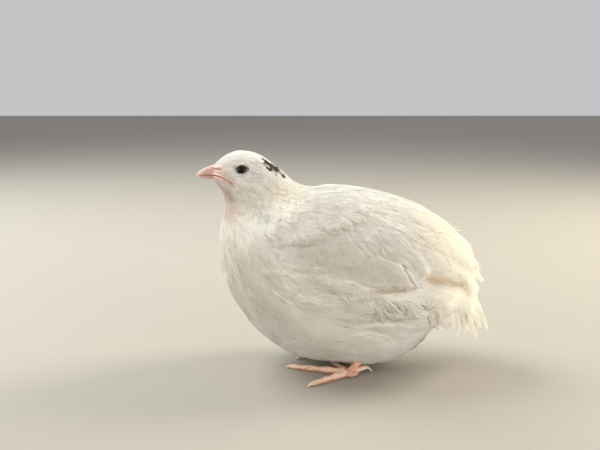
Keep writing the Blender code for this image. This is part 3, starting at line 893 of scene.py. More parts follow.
def dress(centres, normals, lengths, styleName, rng, tracks, curve, wide, loose=0.012, curl=0.0, tilt=0.0,
          tint=0.0):
    # feathers along these centre lines: their points, faces, paint and places on the bake's map
    count, steps = len(centres), centres.shape[1] - 1
    ahead = unit(np.gradient(centres, axis=1))
    across = unit(np.cross(normals, ahead))
    upward = np.cross(ahead, across)
    lengths = lengths[:, None]
    perFeather = (np.broadcast_to(value, (count,))[:, None] for value in (wide, curl, tilt, curve, tint))
    wide, curl, tilt, curve, tint = perFeather
    pieces = []
    picks = rng.integers(0, len(templates[styleName]), count)
    for number, template in enumerate(templates[styleName]):
        rowsHere = np.flatnonzero(picks == number)
        if not len(rowsHere):
            continue
        x, y, h = template["points"].T
        i = np.clip((x * steps).astype(int), 0, steps - 1)
        f = (x * steps - i)[None, :, None]

        def along(values):
            return values[rowsHere][:, i] * (1 - f) + values[rowsHere][:, i + 1] * f

        long, ring, owner = lengths[rowsHere], template["ring"], template["owner"]
        own = rng.normal(0, 1, (2, len(rowsHere), template["strands"]))[:, :, owner]
        side = (y + own[0] * loose * ring ** 2) * long * wide[rowsHere]
        side = side + curl[rowsHere] * long * x ** 2
        rise = h * long + own[1] * loose * 0.4 * long * ring
        rise = rise - side ** 2 / (2 * curve[rowsHere]) + tilt[rowsHere] * side
        points = along(centres) + along(across) * side[..., None] + along(upward) * rise[..., None]
        baseI = np.clip((template["bases"] * steps).astype(int), 0, steps - 1)
        trackS, trackA = tracks[0][rowsHere][:, baseI], tracks[1][rowsHere][:, baseI]
        mapU = np.clip((trackA + math.pi) / (2 * math.pi) % 1.0, 0.002, 0.998)
        mapV = np.clip(trackS / lastSection, 0.002, 0.998)
        uv = np.stack([mapU[:, owner], mapV[:, owner]], -1) + template["patch"][None] * patchSize
        shift = len(template["points"]) * np.arange(len(rowsHere))[:, None]
        weight = ring / ring.sum() * template["strands"]
        size = len(template["points"]) // template["strands"]
        strandsHere = (points * weight[None, :, None]).reshape(len(rowsHere), template["strands"], size, 3)
        spots = np.repeat(strandsHere.sum(2), size, 1)  # a strand has one colour, from its outer part
        shade = 0.3 * rng.uniform(-1, 1, (len(rowsHere), template["strands"])) + 0.45 * template["shades"]
        shade = (shade + 0.2 * rng.uniform(-1, 1, (len(rowsHere), 1)) + tint[rowsHere])[:, owner]
        # painted highlight on the strands' ends and painted shade on the inner vane
        shade = shade + template["edge"] * (smoothStep(ring, 0.75, 0.95) - 0.5)
        pieces.append({
            "points": points.reshape(-1, 3),
            "corners": (template["corners"][None] + shift).ravel(),
            "sizes": np.tile(template["sizes"], len(rowsHere)),
            "uv": uv.reshape(-1, 2),
            "spots": spots.reshape(-1, 3),
            "tint": shade.ravel(),
        })
    return pieces


coatPieces = {}  # the feathers of each piece of the coat
lowestFeather = 0.4  # no feather comes nearer to the floor
creaseAngle = math.radians(60)


def addCoat(name, pieces):
    coatPieces.setdefault(name, []).extend(pieces)


def triangleCount(pieces):
    return sum(int((piece["sizes"] - 2).sum()) for piece in pieces)


def finishCoat(name, pieces):
    # one object of these feathers, with what its material reads
    counts = np.cumsum([0] + [len(piece["points"]) for piece in pieces])
    points = np.concatenate([piece["points"] for piece in pieces])
    corners = np.concatenate([piece["corners"] + start for piece, start in zip(pieces, counts)])
    sizes = np.concatenate([piece["sizes"] for piece in pieces])
    points[:, 2] = np.maximum(points[:, 2], lowestFeather)
    made = meshFrom(name, points, corners, sizes)
    spots = np.concatenate([piece["spots"] for piece in pieces])
    paintZones(made, spots)
    paint(made, "tint", np.concatenate([piece["tint"] for piece in pieces]))
    layer = made.data.uv_layers.new(name="OFBake")
    uv = np.concatenate([piece["uv"] for piece in pieces])[corners]
    layer.data.foreach_set("uv", uv.astype(np.float32).ravel())
    made.data.shade_smooth()
    made.data.set_sharp_from_angle(angle=creaseAngle)
    wear(made, coatMaterial)
    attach(made, "root")


# Roots of the feathers, spread over the body.

# By section from the bill: the gap between roots, the feathers' length, the coat's depth, the body's
# radius.
coatBySection = {
    "section": [0.0, 1.0, 2.0, 3.0, 4.0, 5.0, 6.0, 8.0, 10.0, 12.0, 14.0, 15.5, 17.0, 18.0],
    "gap": [0.62, 0.72, 0.85, 0.92, 1.0, 1.15, 1.55, 2.25, 2.55, 2.75, 2.65, 2.4, 2.3, 2.2],
    "length": [1.0, 1.7, 2.6, 4.0, 5.6, 7.6, 11.0, 14.0, 15.5, 16.0, 14.0, 9.0, 7.0, 6.0],
    "depth": [0.2, 0.3, 0.4, 0.55, 0.7, 0.85, 1.05, 1.35, 1.5, 1.5, 1.5, 1.5, 1.5, 1.4],
    "radius": [7.0, 9.0, 12.0, 14.0, 17.0, 22.0, 28.0, 38.0, 44.0, 42.0, 36.0, 24.0, 18.0, 12.0],
}


def bySection(what, s):
    return np.interp(s, coatBySection["section"], coatBySection[what])


# Streaks along the lie: feathers painted lighter and darker, as painted shade between rows of feathers.
streaks = {
    "sections": (0.0, 3.0, 6.0),
    "across": (3.4, 3.0, 1.9),  # how wide at those sections, where the body's radius is the next value
    "radius": 30.0,
    "tint": 0.7,
    "height": 0.12,
}
halfway = np.arange(len(places) - 1) + 0.5
streakRun = np.concatenate([[0.0], np.cumsum(np.diff(places) / bySection("length", halfway))])


def streakAt(s, a, seed):
    # from -1 to 1, changing slowly along the lie and fast across it
    down = np.interp(s, np.arange(len(places)), streakRun) / 1.2
    across = np.interp(s, streaks["sections"], streaks["across"])
    cells = np.stack([a * streaks["radius"] / across, down, 0 * s], -1)
    return np.clip(1.5 * softNoise(cells, 1.0, seed), -1, 1)


def faceShare(points, s):
    # 1 on the face, where the feathers are shortest
    nearEye = 1 - smoothStep(eyeShare(points), 1.3, 3.6)
    return np.maximum(nearEye * (s < 3.6), 1 - smoothStep(s, 0.8, 2.4))


def bareAt(points, s):
    # 1 where no feather grows: the eyelids, the gape and the soft skin at the bill
    x, z = points[..., 0], points[..., 2]
    gape, _ = lineDistance(x, z, gapeLine)
    nostril, _ = lineDistance(x, z, [(-76.5, 116.0), (-70.5, 116.6)])
    onSide = np.abs(points[..., 1]) > 2.2
    lids = (eyeShare(points) < 1.22) & (s < 3.6)
    return lids | ((gape < 1.1) & (x < -63.0)) | ((nostril < 2.0) & onSide) | (x < -74.6)


wingOutline = [(-41.0, 77.0), (-32.0, 88.0), (-13.0, 93.5), (13.0, 92.0), (33.0, 81.0), (47.0, 66.0),
               (49.5, 56.5), (39.0, 54.0), (13.0, 57.8), (-15.0, 63.5), (-34.0, 68.5)]


def insideWing(points, margin):
    # 1 where the folded wing covers the body by more than this margin
    x, z = points[..., 0], points[..., 2]
    inside = np.zeros(x.shape, bool)
    for (x0, z0), (x1, z1) in zip(wingOutline, wingOutline[1:] + wingOutline[:1]):
        crosses = (z0 > z) != (z1 > z)
        inside ^= crosses & (x < (x1 - x0) * (z - z0) / (z1 - z0 + 1e-9) + x0)
    distance, _ = lineDistance(x, z, wingOutline + wingOutline[:1])
    return inside & (distance > margin) & (np.abs(points[..., 1]) > 14)


def gapAt(points, s):
    # the gap between the roots of feathers, which is less on the face
    return bySection("gap", s) * (1 - 0.22 * faceShare(points, s))


def depthAt(face, s):
    # how deep under the outer form the skin lies, which is less on the face
    return bySection("depth", s) * (1 - 0.25 * face)


def scatterRoots(seed):
    # roots over the whole body, no two nearer than the gap of their place
    rng = np.random.default_rng(seed)
    s, a = gridS[:-1], gridA[:-1]
    area = np.linalg.norm(np.cross(alongGrid[:-1], roundGrid[:-1]), axis=-1) * sStep * aStep
    gap = gapAt(outer[:-1], s)
    weight = area / gap ** 2
    total = weight.sum()
    tries = int(total * 7)
    cells = rng.choice(weight.size, tries, p=(weight / total).ravel())
    s = s.ravel()[cells] + rng.uniform(0, sStep, tries)
    a = a.ravel()[cells] + rng.uniform(0, aStep, tries)
    points = placeAt(s, a)
    gap = gapAt(points, s)
    tree = treeOf(points)
    gone = np.zeros(tries, bool)
    kept = []
    for k in range(tries):
        if gone[k]:
            continue
        kept.append(k)
        for _, other, _ in tree.find_range(points[k], gap[k]):
            gone[other] = True
    kept = np.array(kept)
    return s[kept], a[kept]


rootS, rootA = scatterRoots(5)
rootPoint = placeAt(rootS, rootA)
underWing = 12.0  # from this far inside the wing's outline no feather of the body shows
lastRoot = 15.1
covered = insideWing(rootPoint, underWing) | bareAt(rootPoint, rootS) | (rootS > lastRoot)
rootS, rootA, rootPoint = rootS[~covered], rootA[~covered], rootPoint[~covered]
turnAway = np.abs(rootA)
rootX, rootZ = rootPoint[:, 0], rootPoint[:, 2]
face = faceShare(rootPoint, rootS)
print("roots of feathers:", len(rootS))

# Which feathers grow where, the first that fits: their style, how much longer they are, how high their tips
# stand, how much they waver and how strong the streaks are.
tracts = {
    "face": (face > 0.5, "face", 1.2, 0.03, 1.5, 1.1),
    "head": (rootS < 3.3, "head", 1.2, 0.05, 2.0, 1.9),
    "neck": (rootS < 4.3, "neck", 1.2, 0.10, 1.6, 1.5),
    "scruff": ((rootS < 6.0) & (turnAway > 0.5) & (turnAway < 1.75), "neck", 1.05, 0.2, 2.4, 0.8),
    "throat": (rootS < 5.4, "neck", 1.2, 0.12, 1.2, 0.9),
    "rump": ((rootS > 12.6) & (turnAway < 1.75), "hairy", 1.35, 0.5, 2.6, 2.4),
    "tail": (rootS > 14.6, "hairy", 1.0, 0.4, 2.0, 1.0),
    "belly": ((turnAway > 1.9) & (rootS > 9.6), "downy", 1.15, 0.12, 1.3, 1.0),
    "breast": (turnAway > 1.7, "silky", 1.2, 0.12, 1.2, 1.0),
    "back": (turnAway < 0.95, "body", 1.15, 0.10, 1.0, 0.8),
    "flank": (rootS > 0, "body", 1.15, 0.12, 1.2, 0.9),
}


fullLength = 12.0  # shorter feathers stand up less


def growTracts():
    rng = np.random.default_rng(8)
    free = np.ones(len(rootS), bool)
    for name, (where, styleName, longer, lift, waving, streaky) in tracts.items():
        here = np.flatnonzero(free & where)
        free[here] = False
        s, a = rootS[here], rootA[here]
        count = len(here)
        lengths = bySection("length", s) * longer * rng.uniform(0.85, 1.15, count)
        lengths = lengths * (1 - 0.3 * face[here])
        heading = rng.normal(0, 0.07, count)
        tracks = layTracks(s, a, lengths, heading, waving)
        depth = depthAt(face[here], s)
        streak = streakAt(s, a, 51) * streaky
        tufts = np.clip(1.6 * softNoise(rootPoint[here], 2.0, 52), -1, 1)
        x, z = rootX[here], rootZ[here]
        scruffy = spot(x, z, (-39, 96), (14, 10)) * smoothStep(np.abs(rootPoint[here, 1]), 5, 10)
        tufts = np.clip(tufts + 0.7 * scruffy * rng.normal(0, 1, count), -1.3, 1.3)
        low = smoothStep(s, 11.0, 13.5) * smoothStep(turnAway[here], 2.0, 2.6)
        lifts = (lift * (1 + 0.7 * tufts) + 1.6 * low) * np.clip(lengths / fullLength, 0.15, 1.2)
        lifts = lifts + 0.3 * scruffy * np.clip(tufts, 0, 1)
        lifts = lifts * rng.uniform(0.4, 1.4, count)
        lifts = lifts + streaks["height"] * streak * np.clip(lengths / fullLength, 0.0, 1.0)
        heights = riseFrom(depth, lifts, 6, 5.0)
        centres = placeAt(*tracks) + lookUp(outerNormal, *tracks) * heights[..., None]
        normals = lookUp(outerNormal, *tracks)
        # painted light and shade: the streaks, and scruffy tufts painted lighter the higher they stand
        tint = streaks["tint"] * streak * (1 - 0.6 * scruffy) + (1.5 * tufts + 0.35) * scruffy
        pieces = dress(centres, normals, lengths, styleName, rng, tracks, bySection("radius", s),
                       wide=rng.uniform(0.9, 1.15, count), curl=rng.normal(0, 0.035, count), tint=tint)
        addCoat(name, pieces)
        print("tract", name, count, "feathers", triangleCount(pieces), "triangles")


growTracts()

# The folded wings.

rowColumns = ("roots", "tips", "count", "half", "level", "deep", "bow", "style")


def rowOf(*values, **more):
    return {**dict(zip(rowColumns, values)), **more}


# Rows of feathers, lowest first: roots and tips from the first to the last (x, z), how many, their half
# width, how high they lie over the body's form at the first and the last, how deep the roots are, how far
# they bow up and their style. Some also say how high the tips stand, how uneven they are and how they
# lean and curl.
wingRows = {
    "primary": rowOf([(0.0, 66.5), (8.0, 66.5)], [(30.0, 56.4), (38.5, 57.3)], 3, 3.4, (-1.2, -1.0), 1.0, 0.6,
        "quill"),
    "secondary": rowOf([(-27.0, 74.0), (-12.0, 72.5), (8.0, 72.0)], [(6.0, 62.3), (20.0, 58.3), (38.5, 59.2)],
        9, 4.6, (-0.9, -0.2), 1.2, 0.9, "quill"),
    "greater covert": rowOf([(-31.0, 77.0), (-12.0, 78.0), (2.0, 78.5)],
        [(-17.0, 71.0), (2.0, 67.5), (20.0, 66.5)], 11, 3.4, (-0.8, 0.0), 1.0, 0.4, "covert"),
    "median covert": rowOf([(-33.0, 80.5), (-6.0, 82.0)], [(-22.5, 74.5), (7.0, 74.0)], 9, 3.3, (-0.7, 0.2),
        1.2, 0.3, "covert"),
    "lesser covert": rowOf([(-34.5, 84.5), (-8.0, 87.0)], [(-26.5, 77.5), (2.0, 79.5)], 10, 3.0, (-0.8, 0.3),
        1.4, 0.2, "covert"),
    "under tertial": rowOf([(-6.0, 80.0), (4.0, 82.0), (15.0, 85.0)],
        [(24.0, 60.5), (32.0, 60.0), (39.5, 63.0)], 4, 5.2, (-0.7, -0.4), 2.0, 1.6, "quill", jitter=0.3),
    "last tertial": rowOf([(14.0, 84.0)], [(44.4, 60.0)], 1, 5.8, (0.6, 0.6), 2.6, 1.8, "quill", jitter=0.0,
        tipLift=-0.7, tilt=0.1),
    "tertial": rowOf([(-8.0, 77.0), (-2.0, 78.0)], [(24.0, 58.6), (36.4, 56.6)], 2, 4.6, (-0.2, 0.7), 2.6,
        0.8, "quill", jitter=0.1, tipLift=-0.6, tilt=(0.1, 0.3)),
    "long scapular": rowOf([(-14.0, 89.5), (-2.0, 92.5), (8.0, 94.2), (16.0, 94.5)],
        [(11.0, 74.5), (19.0, 70.5), (29.0, 70.5), (40.5, 74.5)], 12, 4.4, (0.2, 0.7), 2.8, 1.0, "shoulder",
        tipLift=-0.4, jitter=1.0),
    "scapular": rowOf([(-37.0, 87.0), (-24.0, 91.5), (-6.0, 95.0)],
        [(-25.0, 78.6), (-11.0, 82.2), (8.0, 88.0)], 12, 3.4, (-0.4, 0.8), 1.8, 0.5, "shoulder",
        jitter=1.0),
    "upper scapular": rowOf([(-40.0, 92.0), (-22.0, 97.0), (0.0, 99.0)],
        [(-29.0, 84.0), (-9.0, 89.5), (14.0, 91.5)], 12, 3.2, (-1.3, 0.6), 1.6, 0.5, "shoulder",
        jitter=1.2),
    "upper shoulder": rowOf([(-36.0, 98.0), (-18.0, 101.0), (4.0, 101.5)],
        [(-24.0, 89.5), (-4.0, 94.0), (20.0, 94.0)], 11, 3.2, (-1.2, 0.2), 1.6, 0.4, "shoulder",
        jitter=1.3),
}
wingForm = {
    "edgeAt0": 61.0,  # the height of the wing's lower edge at x = 0
    "edgeSlope": -0.233,
    "height": 34.0,
    "proud": 2.0,  # how far it stands out at that edge
    "front": -40.0,
    "lead": 26.0,
    "radius": 34.0,  # of the body under it
    "tipJitter": 0.5,
    "steps": 8,
}


def wingLift(points):
    # how far the wing stands out of the body's form: most at its lower edge
    x, z = points[..., 0], points[..., 2]
    edge = wingForm["edgeAt0"] + wingForm["edgeSlope"] * x
    up = np.clip((z - edge) / wingForm["height"], 0, 1)
    back = np.clip((x - wingForm["front"]) / wingForm["lead"], 0, 1)
    return wingForm["proud"] * (1 - up) ** 0.8 * back ** 0.8


def spreadOver(values, q):
    # what the values come to at these shares of the way from the first to the last
    return np.interp(q, np.linspace(0, 1, len(values)), values)


def growRow(row, side, rng, lift):
    # one row of feathers on this side, along lines of x and z
    steps, count = wingForm["steps"], row["count"]
    t = np.linspace(0, 1, steps + 1)
    q = np.linspace(0, 1, count)
    roots, tips = (np.stack([spreadOver(axis, q) for axis in zip(*row[end])], 1) for end in ("roots", "tips"))
    jitter = row.get("jitter", wingForm["tipJitter"])
    roots += rng.normal(0, jitter, roots.shape)
    tips += rng.normal(0, jitter, tips.shape) * 0.8
    way = tips - roots
    lengths = np.linalg.norm(way, axis=1)
    upward = np.stack([-way[:, 1], way[:, 0]], 1) / lengths[:, None]
    bow = row["bow"] * rng.uniform(0.7, 1.3, count)
    arch = (4 * t * (1 - t))[:, None]
    path = roots[:, None] + way[:, None] * t[:, None] + (upward * bow[:, None])[:, None] * arch
    tracks = findPlace(path[..., 0], path[..., 1], side)
    base, normals = placeAt(*tracks), lookUp(outerNormal, *tracks)
    heights = riseFrom(np.full(count, row["deep"]), np.full(count, row.get("tipLift", 0.15)), steps, 2.6)
    heights = heights + spreadOver(row["level"], q)[:, None] + lift(base)
    centres = base + normals * heights[..., None]
    tilt = spreadOver(np.atleast_1d(row.get("tilt", 0.05)), q) + rng.normal(0, 0.02, count)
    wide = row["half"] / (featherStyles[row["style"]]["width"] * lengths) * rng.uniform(0.94, 1.08, count)
    return dress(centres, normals, lengths, row["style"], rng, tracks, wingForm["radius"], wide=wide,
                 loose=row.get("loose", 0.003), curl=rng.normal(0, row.get("curl", 0.01), count),
                 tilt=tilt * -side, tint=rng.uniform(-0.1, 0.25, count))


def growRows(piece, rowsHere, seed, lift):
    for sideName, side in sides.items():
        rng = np.random.default_rng(seed + side)
        for row in rowsHere.values():
            addCoat(f"{piece}_{sideName}", growRow(row, side, rng, lift))
    print(piece, triangleCount(coatPieces[f"{piece}_left"]), "triangles each")


growRows("wing", wingRows, 50, wingLift)

# Long loose plumes of the flanks, from under the wing; "curl" bends their ends.
plumeRows = {
    "ridge": rowOf([(-44.0, 71.0), (-28.0, 66.0), (-10.0, 61.5)], [(-25.0, 66.5), (-8.0, 63.6), (9.0, 57.0)],
        14, 3.0, (0.1, 1.1), 3.0, 0.8, "shoulder", tilt=0.15, tipLift=0.3, loose=0.01, curl=0.03,
        jitter=0.9),
    "under the wing": rowOf([(-22.0, 62.0), (-2.0, 58.0), (18.0, 55.0)],
        [(2.0, 54.5), (23.0, 44.5), (41.0, 43.5)], 16, 3.6, (0.3, 0.9), 2.5, 0.8, "plume", tipLift=0.9,
        loose=0.02, curl=0.1, jitter=1.3),
    "lower flank": rowOf([(-14.0, 57.0), (8.0, 50.0), (26.0, 47.0)],
        [(10.0, 46.5), (30.0, 38.0), (47.0, 38.5)], 14, 3.8, (0.1, 0.5), 2.5, 0.6, "plume", tipLift=0.5,
        loose=0.02, curl=0.1, jitter=1.6),
    "tail skirt": rowOf([(45.0, 49.0), (66.0, 46.0)], [(49.5, 30.5), (72.0, 30.5)], 13, 2.8, (0.5, 0.8), 2.2,
        0.5, "wisp", tipLift=0.8, loose=0.02, curl=0.08, jitter=1.5),
    "tail skirt above": rowOf([(50.0, 52.5), (71.0, 46.5)], [(56.0, 38.0), (75.5, 34.0)], 10, 2.6, (0.8, 1.0),
        2.2, 0.5, "wisp", tipLift=0.8, loose=0.02, curl=0.08, jitter=1.5),
    "over the rump": rowOf([(55.0, 82.0), (52.0, 76.0)], [(73.0, 69.0), (70.5, 61.0)], 6, 3.8, (0.3, 0.3),
        2.0, 0.8, "hairy", tipLift=0.2, jitter=0.6),
    "by the tail": rowOf([(30.0, 54.0), (42.0, 53.0)], [(48.0, 44.0), (59.0, 42.0)], 8, 3.0, (0.4, 0.6), 2.5,
        -0.6, "plume", tipLift=1.2, loose=0.035, curl=0.16, jitter=1.5),
}


growRows("plumes", plumeRows, 60, lambda points: 0.5)

# Tail feathers and loose tufts of the rear outline: root, middle and tip (x, y, z), half width and style.
tailLines = [
    ((62, -13, 52), (75.5, -8, 39), (85.2, -5, 18.8), 3.6, "tail"),
    ((61, -15, 49), (73, -11, 35), (80.2, -8, 22.5), 3.4, "tail"),
    ((60, -21, 46), (70.5, -14.5, 32), (77.6, -10, 16.8), 3.6, "tail"),
    ((57, -24, 46), (66, -17, 34), (71.0, -13, 22.5), 3.8, "tail"),
    ((55, -27, 45), (63, -20, 33), (67.4, -15, 20.0), 3.6, "tail"),
    ((52, -29, 45), (59, -23, 34), (62.8, -18, 24.5), 3.6, "tail"),
    ((49, -31, 44), (55.5, -26, 34), (58.8, -20, 25.0), 3.4, "tail"),
    ((46, -33, 43), (50.5, -29, 34), (52.6, -24, 26.5), 3.2, "tail"),
    ((60, -4, 53), (74, -2, 35), (80.5, -2, 20.5), 3.6, "tail"),
    ((58, -3, 48), (69, -5, 32), (74.0, -4, 19.5), 3.8, "tail"),
    ((54, -8, 42), (63, -9, 30), (67.5, -8, 22.0), 3.8, "tail"),
    ((50, -12, 38), (57, -14, 29), (61.0, -13, 25.0), 3.8, "tail"),
    ((48, -3, 36), (55, -4, 28), (61.0, -4, 23.5), 3.8, "tail"),
    ((62, -4, 60), (73, -6, 46), (77.5, -7, 33.0), 3.2, "wisp"),
    ((62, -1, 60), (74, -1, 47), (79.0, -1, 34.0), 3.2, "wisp"),
    ((60, -3, 74), (72.5, -4, 64.6), (78.6, -4.5, 59.0), 2.4, "wisp"),
    ((61, -5, 71), (73.5, -6, 61.6), (79.6, -6.5, 57.0), 2.4, "wisp"),
    ((64, -4, 70), (75, -5, 58), (80.6, -6, 52.6), 2.4, "wisp"),
    ((64, -7, 67), (74.5, -8.5, 56), (80.2, -9, 50.2), 2.4, "wisp"),
    ((64, -9, 64), (72.5, -11, 53), (77.2, -12, 45.6), 2.4, "wisp"),
    ((64, -2, 64), (75, -2, 52), (79.6, -2, 44.5), 2.4, "wisp"),
    ((52, -2, 85), (61, -3, 81.4), (68.2, -3, 79.6), 0.8, "wisp"),
    ((-70.6, -4, 68), (-69.7, -6, 59), (-67.8, -8, 50.5), 1.1, "wisp"),
    ((-68.2, -6, 60), (-66.8, -8, 51), (-63.3, -10, 42.5), 1.1, "wisp"),
    ((-63.6, -6, 47), (-60.2, -8, 39.5), (-54.8, -10, 32.5), 1.1, "wisp"),
    ((28, -10, 9.4), (34, -9, 10.8), (40.0, -8, 12.8), 2.2, "wisp"),
    ((30, -4, 8.6), (36.5, -4, 10.3), (42.6, -4, 13.6), 2.2, "wisp"),
    ((33, -14, 13.6), (39, -12, 14.8), (45.0, -10, 17.0), 2.2, "wisp"),
    ((36, -6, 13), (42, -6, 15.3), (47.4, -6, 19.0), 2.2, "wisp"),
    ((38, -18, 18.5), (43.5, -15, 19.6), (49.2, -13, 22.0), 2.2, "wisp"),
    ((41, -8, 19), (46, -8, 21), (51.5, -8, 24.0), 2.2, "wisp"),
]
coarse = 3  # every third point of the outer form is enough to find a place on it
outlineTree = treeOf(outer[::coarse, ::coarse].reshape(-1, 3))
looseEnds = {"tail": 0.002, "wisp": 0.008}


def growLines(name, lines, seed):
    # feathers along lines through their root, middle and tip, on both sides
    rng = np.random.default_rng(seed)
    steps = 8
    t = np.linspace(0, 1, steps + 1)[:, None]
    for styleName in sorted({line[4] for line in lines}):
        knots = np.array([line[:3] for line in lines if line[4] == styleName], float)
        half = np.array([line[3] for line in lines if line[4] == styleName])
        mirrored = knots * [1, -1, 1]
        knots, half = np.concatenate([knots, mirrored]), np.concatenate([half, half])
        knots[len(mirrored):] += rng.normal(0, 1.2, mirrored.shape)
        root, middle, tip = knots[:, None, 0], knots[:, None, 1], knots[:, None, 2]
        centres = root * (1 - t) * (1 - 2 * t) + middle * 4 * t * (1 - t) + tip * t * (2 * t - 1)
        lengths = np.linalg.norm(np.diff(centres, axis=1), axis=2).sum(1)
        found = np.array([outlineTree.find(point)[1] for point in centres.reshape(-1, 3)])
        columns = outer[::coarse, ::coarse].shape[1]
        s = (found // columns * coarse * sStep).reshape(centres.shape[:2])
        a = (found % columns * coarse * aStep - math.pi).reshape(centres.shape[:2])
        sideways = np.clip(knots[:, 1, 1] / 4.0, -1, 1)[:, None] * [0.0, 1.0, 0.0]
        normals = np.repeat(unit(lookUp(outerNormal, s, a)[:, 3] + sideways)[:, None], steps + 1, 1)
        wide = half / (featherStyles[styleName]["width"] * lengths)
        addCoat(name, dress(centres, normals, lengths, styleName, rng, (s, a), 9.0, wide=wide,
                            loose=looseEnds[styleName], curl=rng.normal(0, 0.03, len(half))))


growLines("tail", tailLines, 70)
print("tail:", triangleCount(coatPieces["tail"]), "triangles")

# The skin.

skinShape = {
    "headRows": 150,
    "bodyRows": 78,
    "columns": 240,
    "crowding": 0.2,  # how much closer the columns are at the sides of the head
    "frontEnd": np.array([-73.2, 0.0, 113.6]),
    "tailStart": 13.8,  # from here on the body narrows to its end, under the tail's feathers
    "tailEnd": 16.2,
    "lid": 0.34,  # how far the eyelids stand over the ball
    "lidEdge": 1.0,
    "lidSnap": 0.88,  # points of the skin from here to the edge are drawn onto it
    "lidReach": 2.1,
    "brow": 0.15,
    "gapeDeep": 0.65,
    "lip": 0.42,
    "nostril": ((-72.6, 117.2), (3.9, 1.25), 0.10, 0.6),  # the flap's middle, half sizes, slope and height
    "slit": ([(-73.9, 115.7), (-71.5, 116.0), (-69.6, 115.7)], 0.75, 0.30),
}
skinFixed = {
    "Roughness": 0.5,
    "Specular IOR Level": 0.4,
    "Subsurface Weight": 0.3,
    "Subsurface Scale": 0.0015,
    "Subsurface Radius": (1.0, 0.65, 0.5),
}


def wrapGrid(name, points):
    # a closed piece from rings of points; each ring's last point is its first again
    rings, around = points.shape[:2]
    bpy.ops.mesh.primitive_grid_add(x_subdivisions=around - 1, y_subdivisions=rings - 1, size=1.0)
    made = bpy.context.object
    made.name = made.data.name = name
    made.data.vertices.foreach_set("co", (points * mm).astype(np.float32).ravel())
    bpy.ops.object.mode_set(mode="EDIT")
    bpy.ops.mesh.select_all(action="SELECT")
    bpy.ops.mesh.remove_doubles(threshold=1e-6)
    bpy.ops.mesh.normals_make_consistent(inside=False)
    bpy.ops.object.mode_set(mode="OBJECT")
    bpy.ops.object.shade_smooth()
    bpy.ops.object.select_all(action="DESELECT")
    return made


def meshPoints(made):
    points = np.zeros(len(made.data.vertices) * 3, np.float32)
    made.data.vertices.foreach_get("co", points)
    return points.reshape(-1, 3).astype(float) / mm


def faceRelief(points, s):
    # how far the skin of the face stands out: the gape with its lips, and the flap over the nostril
    x, y, z = np.moveaxis(points, -1, 0)
    gape, along = lineDistance(x, z, gapeLine)
    above = z - np.interp(x, [p[0] for p in gapeLine], [p[1] for p in gapeLine])
    signed = gape * np.sign(above)
    fade = smoothStep(np.abs(y), 1.2, 2.4) * (1 - smoothStep(x, -63.2, -61.8)) * (s < 3.0)
    total = -skinShape["gapeDeep"] * np.exp(-(gape / 0.30) ** 2)
    total += skinShape["lip"] * np.exp(-((signed - 0.85) / 0.5) ** 2)
    total += 0.7 * skinShape["lip"] * np.exp(-((signed + 0.8) / 0.45) ** 2)
    (cx, cz), (longHalf, highHalf), slope, height = skinShape["nostril"]
    flap = np.hypot((x - cx) / longHalf, (z - cz - slope * (x - cx)) / highHalf)
    side = smoothStep(np.abs(y), 1.6, 2.8) * (s < 2.0)
    bump = height * (1 - smoothStep(flap, 0.55, 1.15))
    line, deep, width = skinShape["slit"]
    slit, _ = lineDistance(x, z, line)
    return total * fade + (bump - deep * np.exp(-(slit / width) ** 2)) * side


def shapeLids(points, s):
    # draws the skin over the eyeball, leaving the eye's opening
    share = eyeShare(points)
    x, y, z = np.moveaxis(points, -1, 0)
    side = np.sign(y)
    out2 = (x - eye["x"]) ** 2 + (z - eye["z"]) ** 2
    ball = eye["y"] + np.sqrt(np.maximum(eye["radius"] ** 2 - out2, 1.0))
    lid = ball + skinShape["lid"] + skinShape["brow"] * np.exp(-((share - 1.6) / 0.3) ** 2) * (z > eye["z"])
    target = np.where(share < skinShape["lidEdge"], ball - 2.6, lid)
    weight = (1 - smoothStep(share, 1.35, skinShape["lidReach"])) * (s < 3.9) * (np.abs(y) > 4.0)
    onEdge = (share > skinShape["lidSnap"]) & (share < skinShape["lidEdge"]) & (weight > 0.5)
    target = np.where(onEdge, ball + 0.08, target)
    moved = points.copy()
    moved[..., 1] = y + (side * target - y) * weight
    outward = np.where(onEdge, skinShape["lidEdge"] / np.maximum(share, 0.1) - 1, 0.0)
    moved[..., 0] += (x - eye["x"]) * outward
    moved[..., 2] += (z - eye["openZ"]) * outward
    return moved


def buildSkin():
    inHead = np.linspace(0, 1, skinShape["headRows"])
    headS = 4.0 * inHead
    bodyS = np.linspace(4.0, skinShape["tailEnd"], skinShape["bodyRows"])[1:]
    s = np.concatenate([[0.0, 0.0, 0.0], headS, bodyS])
    turn = np.linspace(-math.pi, math.pi, skinShape["columns"] + 1)
    a = turn + skinShape["crowding"] * np.sin(2 * turn)
    a[0], a[-1] = -math.pi, math.pi
    s, a = np.meshgrid(s, a, indexing="ij")
    points, normals = placeAt(s, a), lookUp(outerNormal, s, a)
    points = points - normals * depthAt(faceShare(points, s), s)[..., None]
    middle = points.mean(1, keepdims=True)
    tailLong = skinShape["tailEnd"] - skinShape["tailStart"]
    narrow = 1 - np.clip((s - skinShape["tailStart"]) / tailLong, 0, 1) ** 2
    points = middle + (points - middle) * np.sqrt(narrow)[..., None]
    relief = faceRelief(points, s)
    points = points + normals * relief[..., None]
    points = shapeLids(points, s)
    for row, share in ((0, 0.0), (1, 0.45), (2, 0.85)):  # the front end closes inside the bill
        points[row] = skinShape["frontEnd"] + (points[3] - skinShape["frontEnd"]) * share
    points[-1] = points[-1].mean(0)
    return wrapGrid("skin", points)


skin = buildSkin()
print("skin ready:", len(skin.data.polygons), "faces")

# Legs.

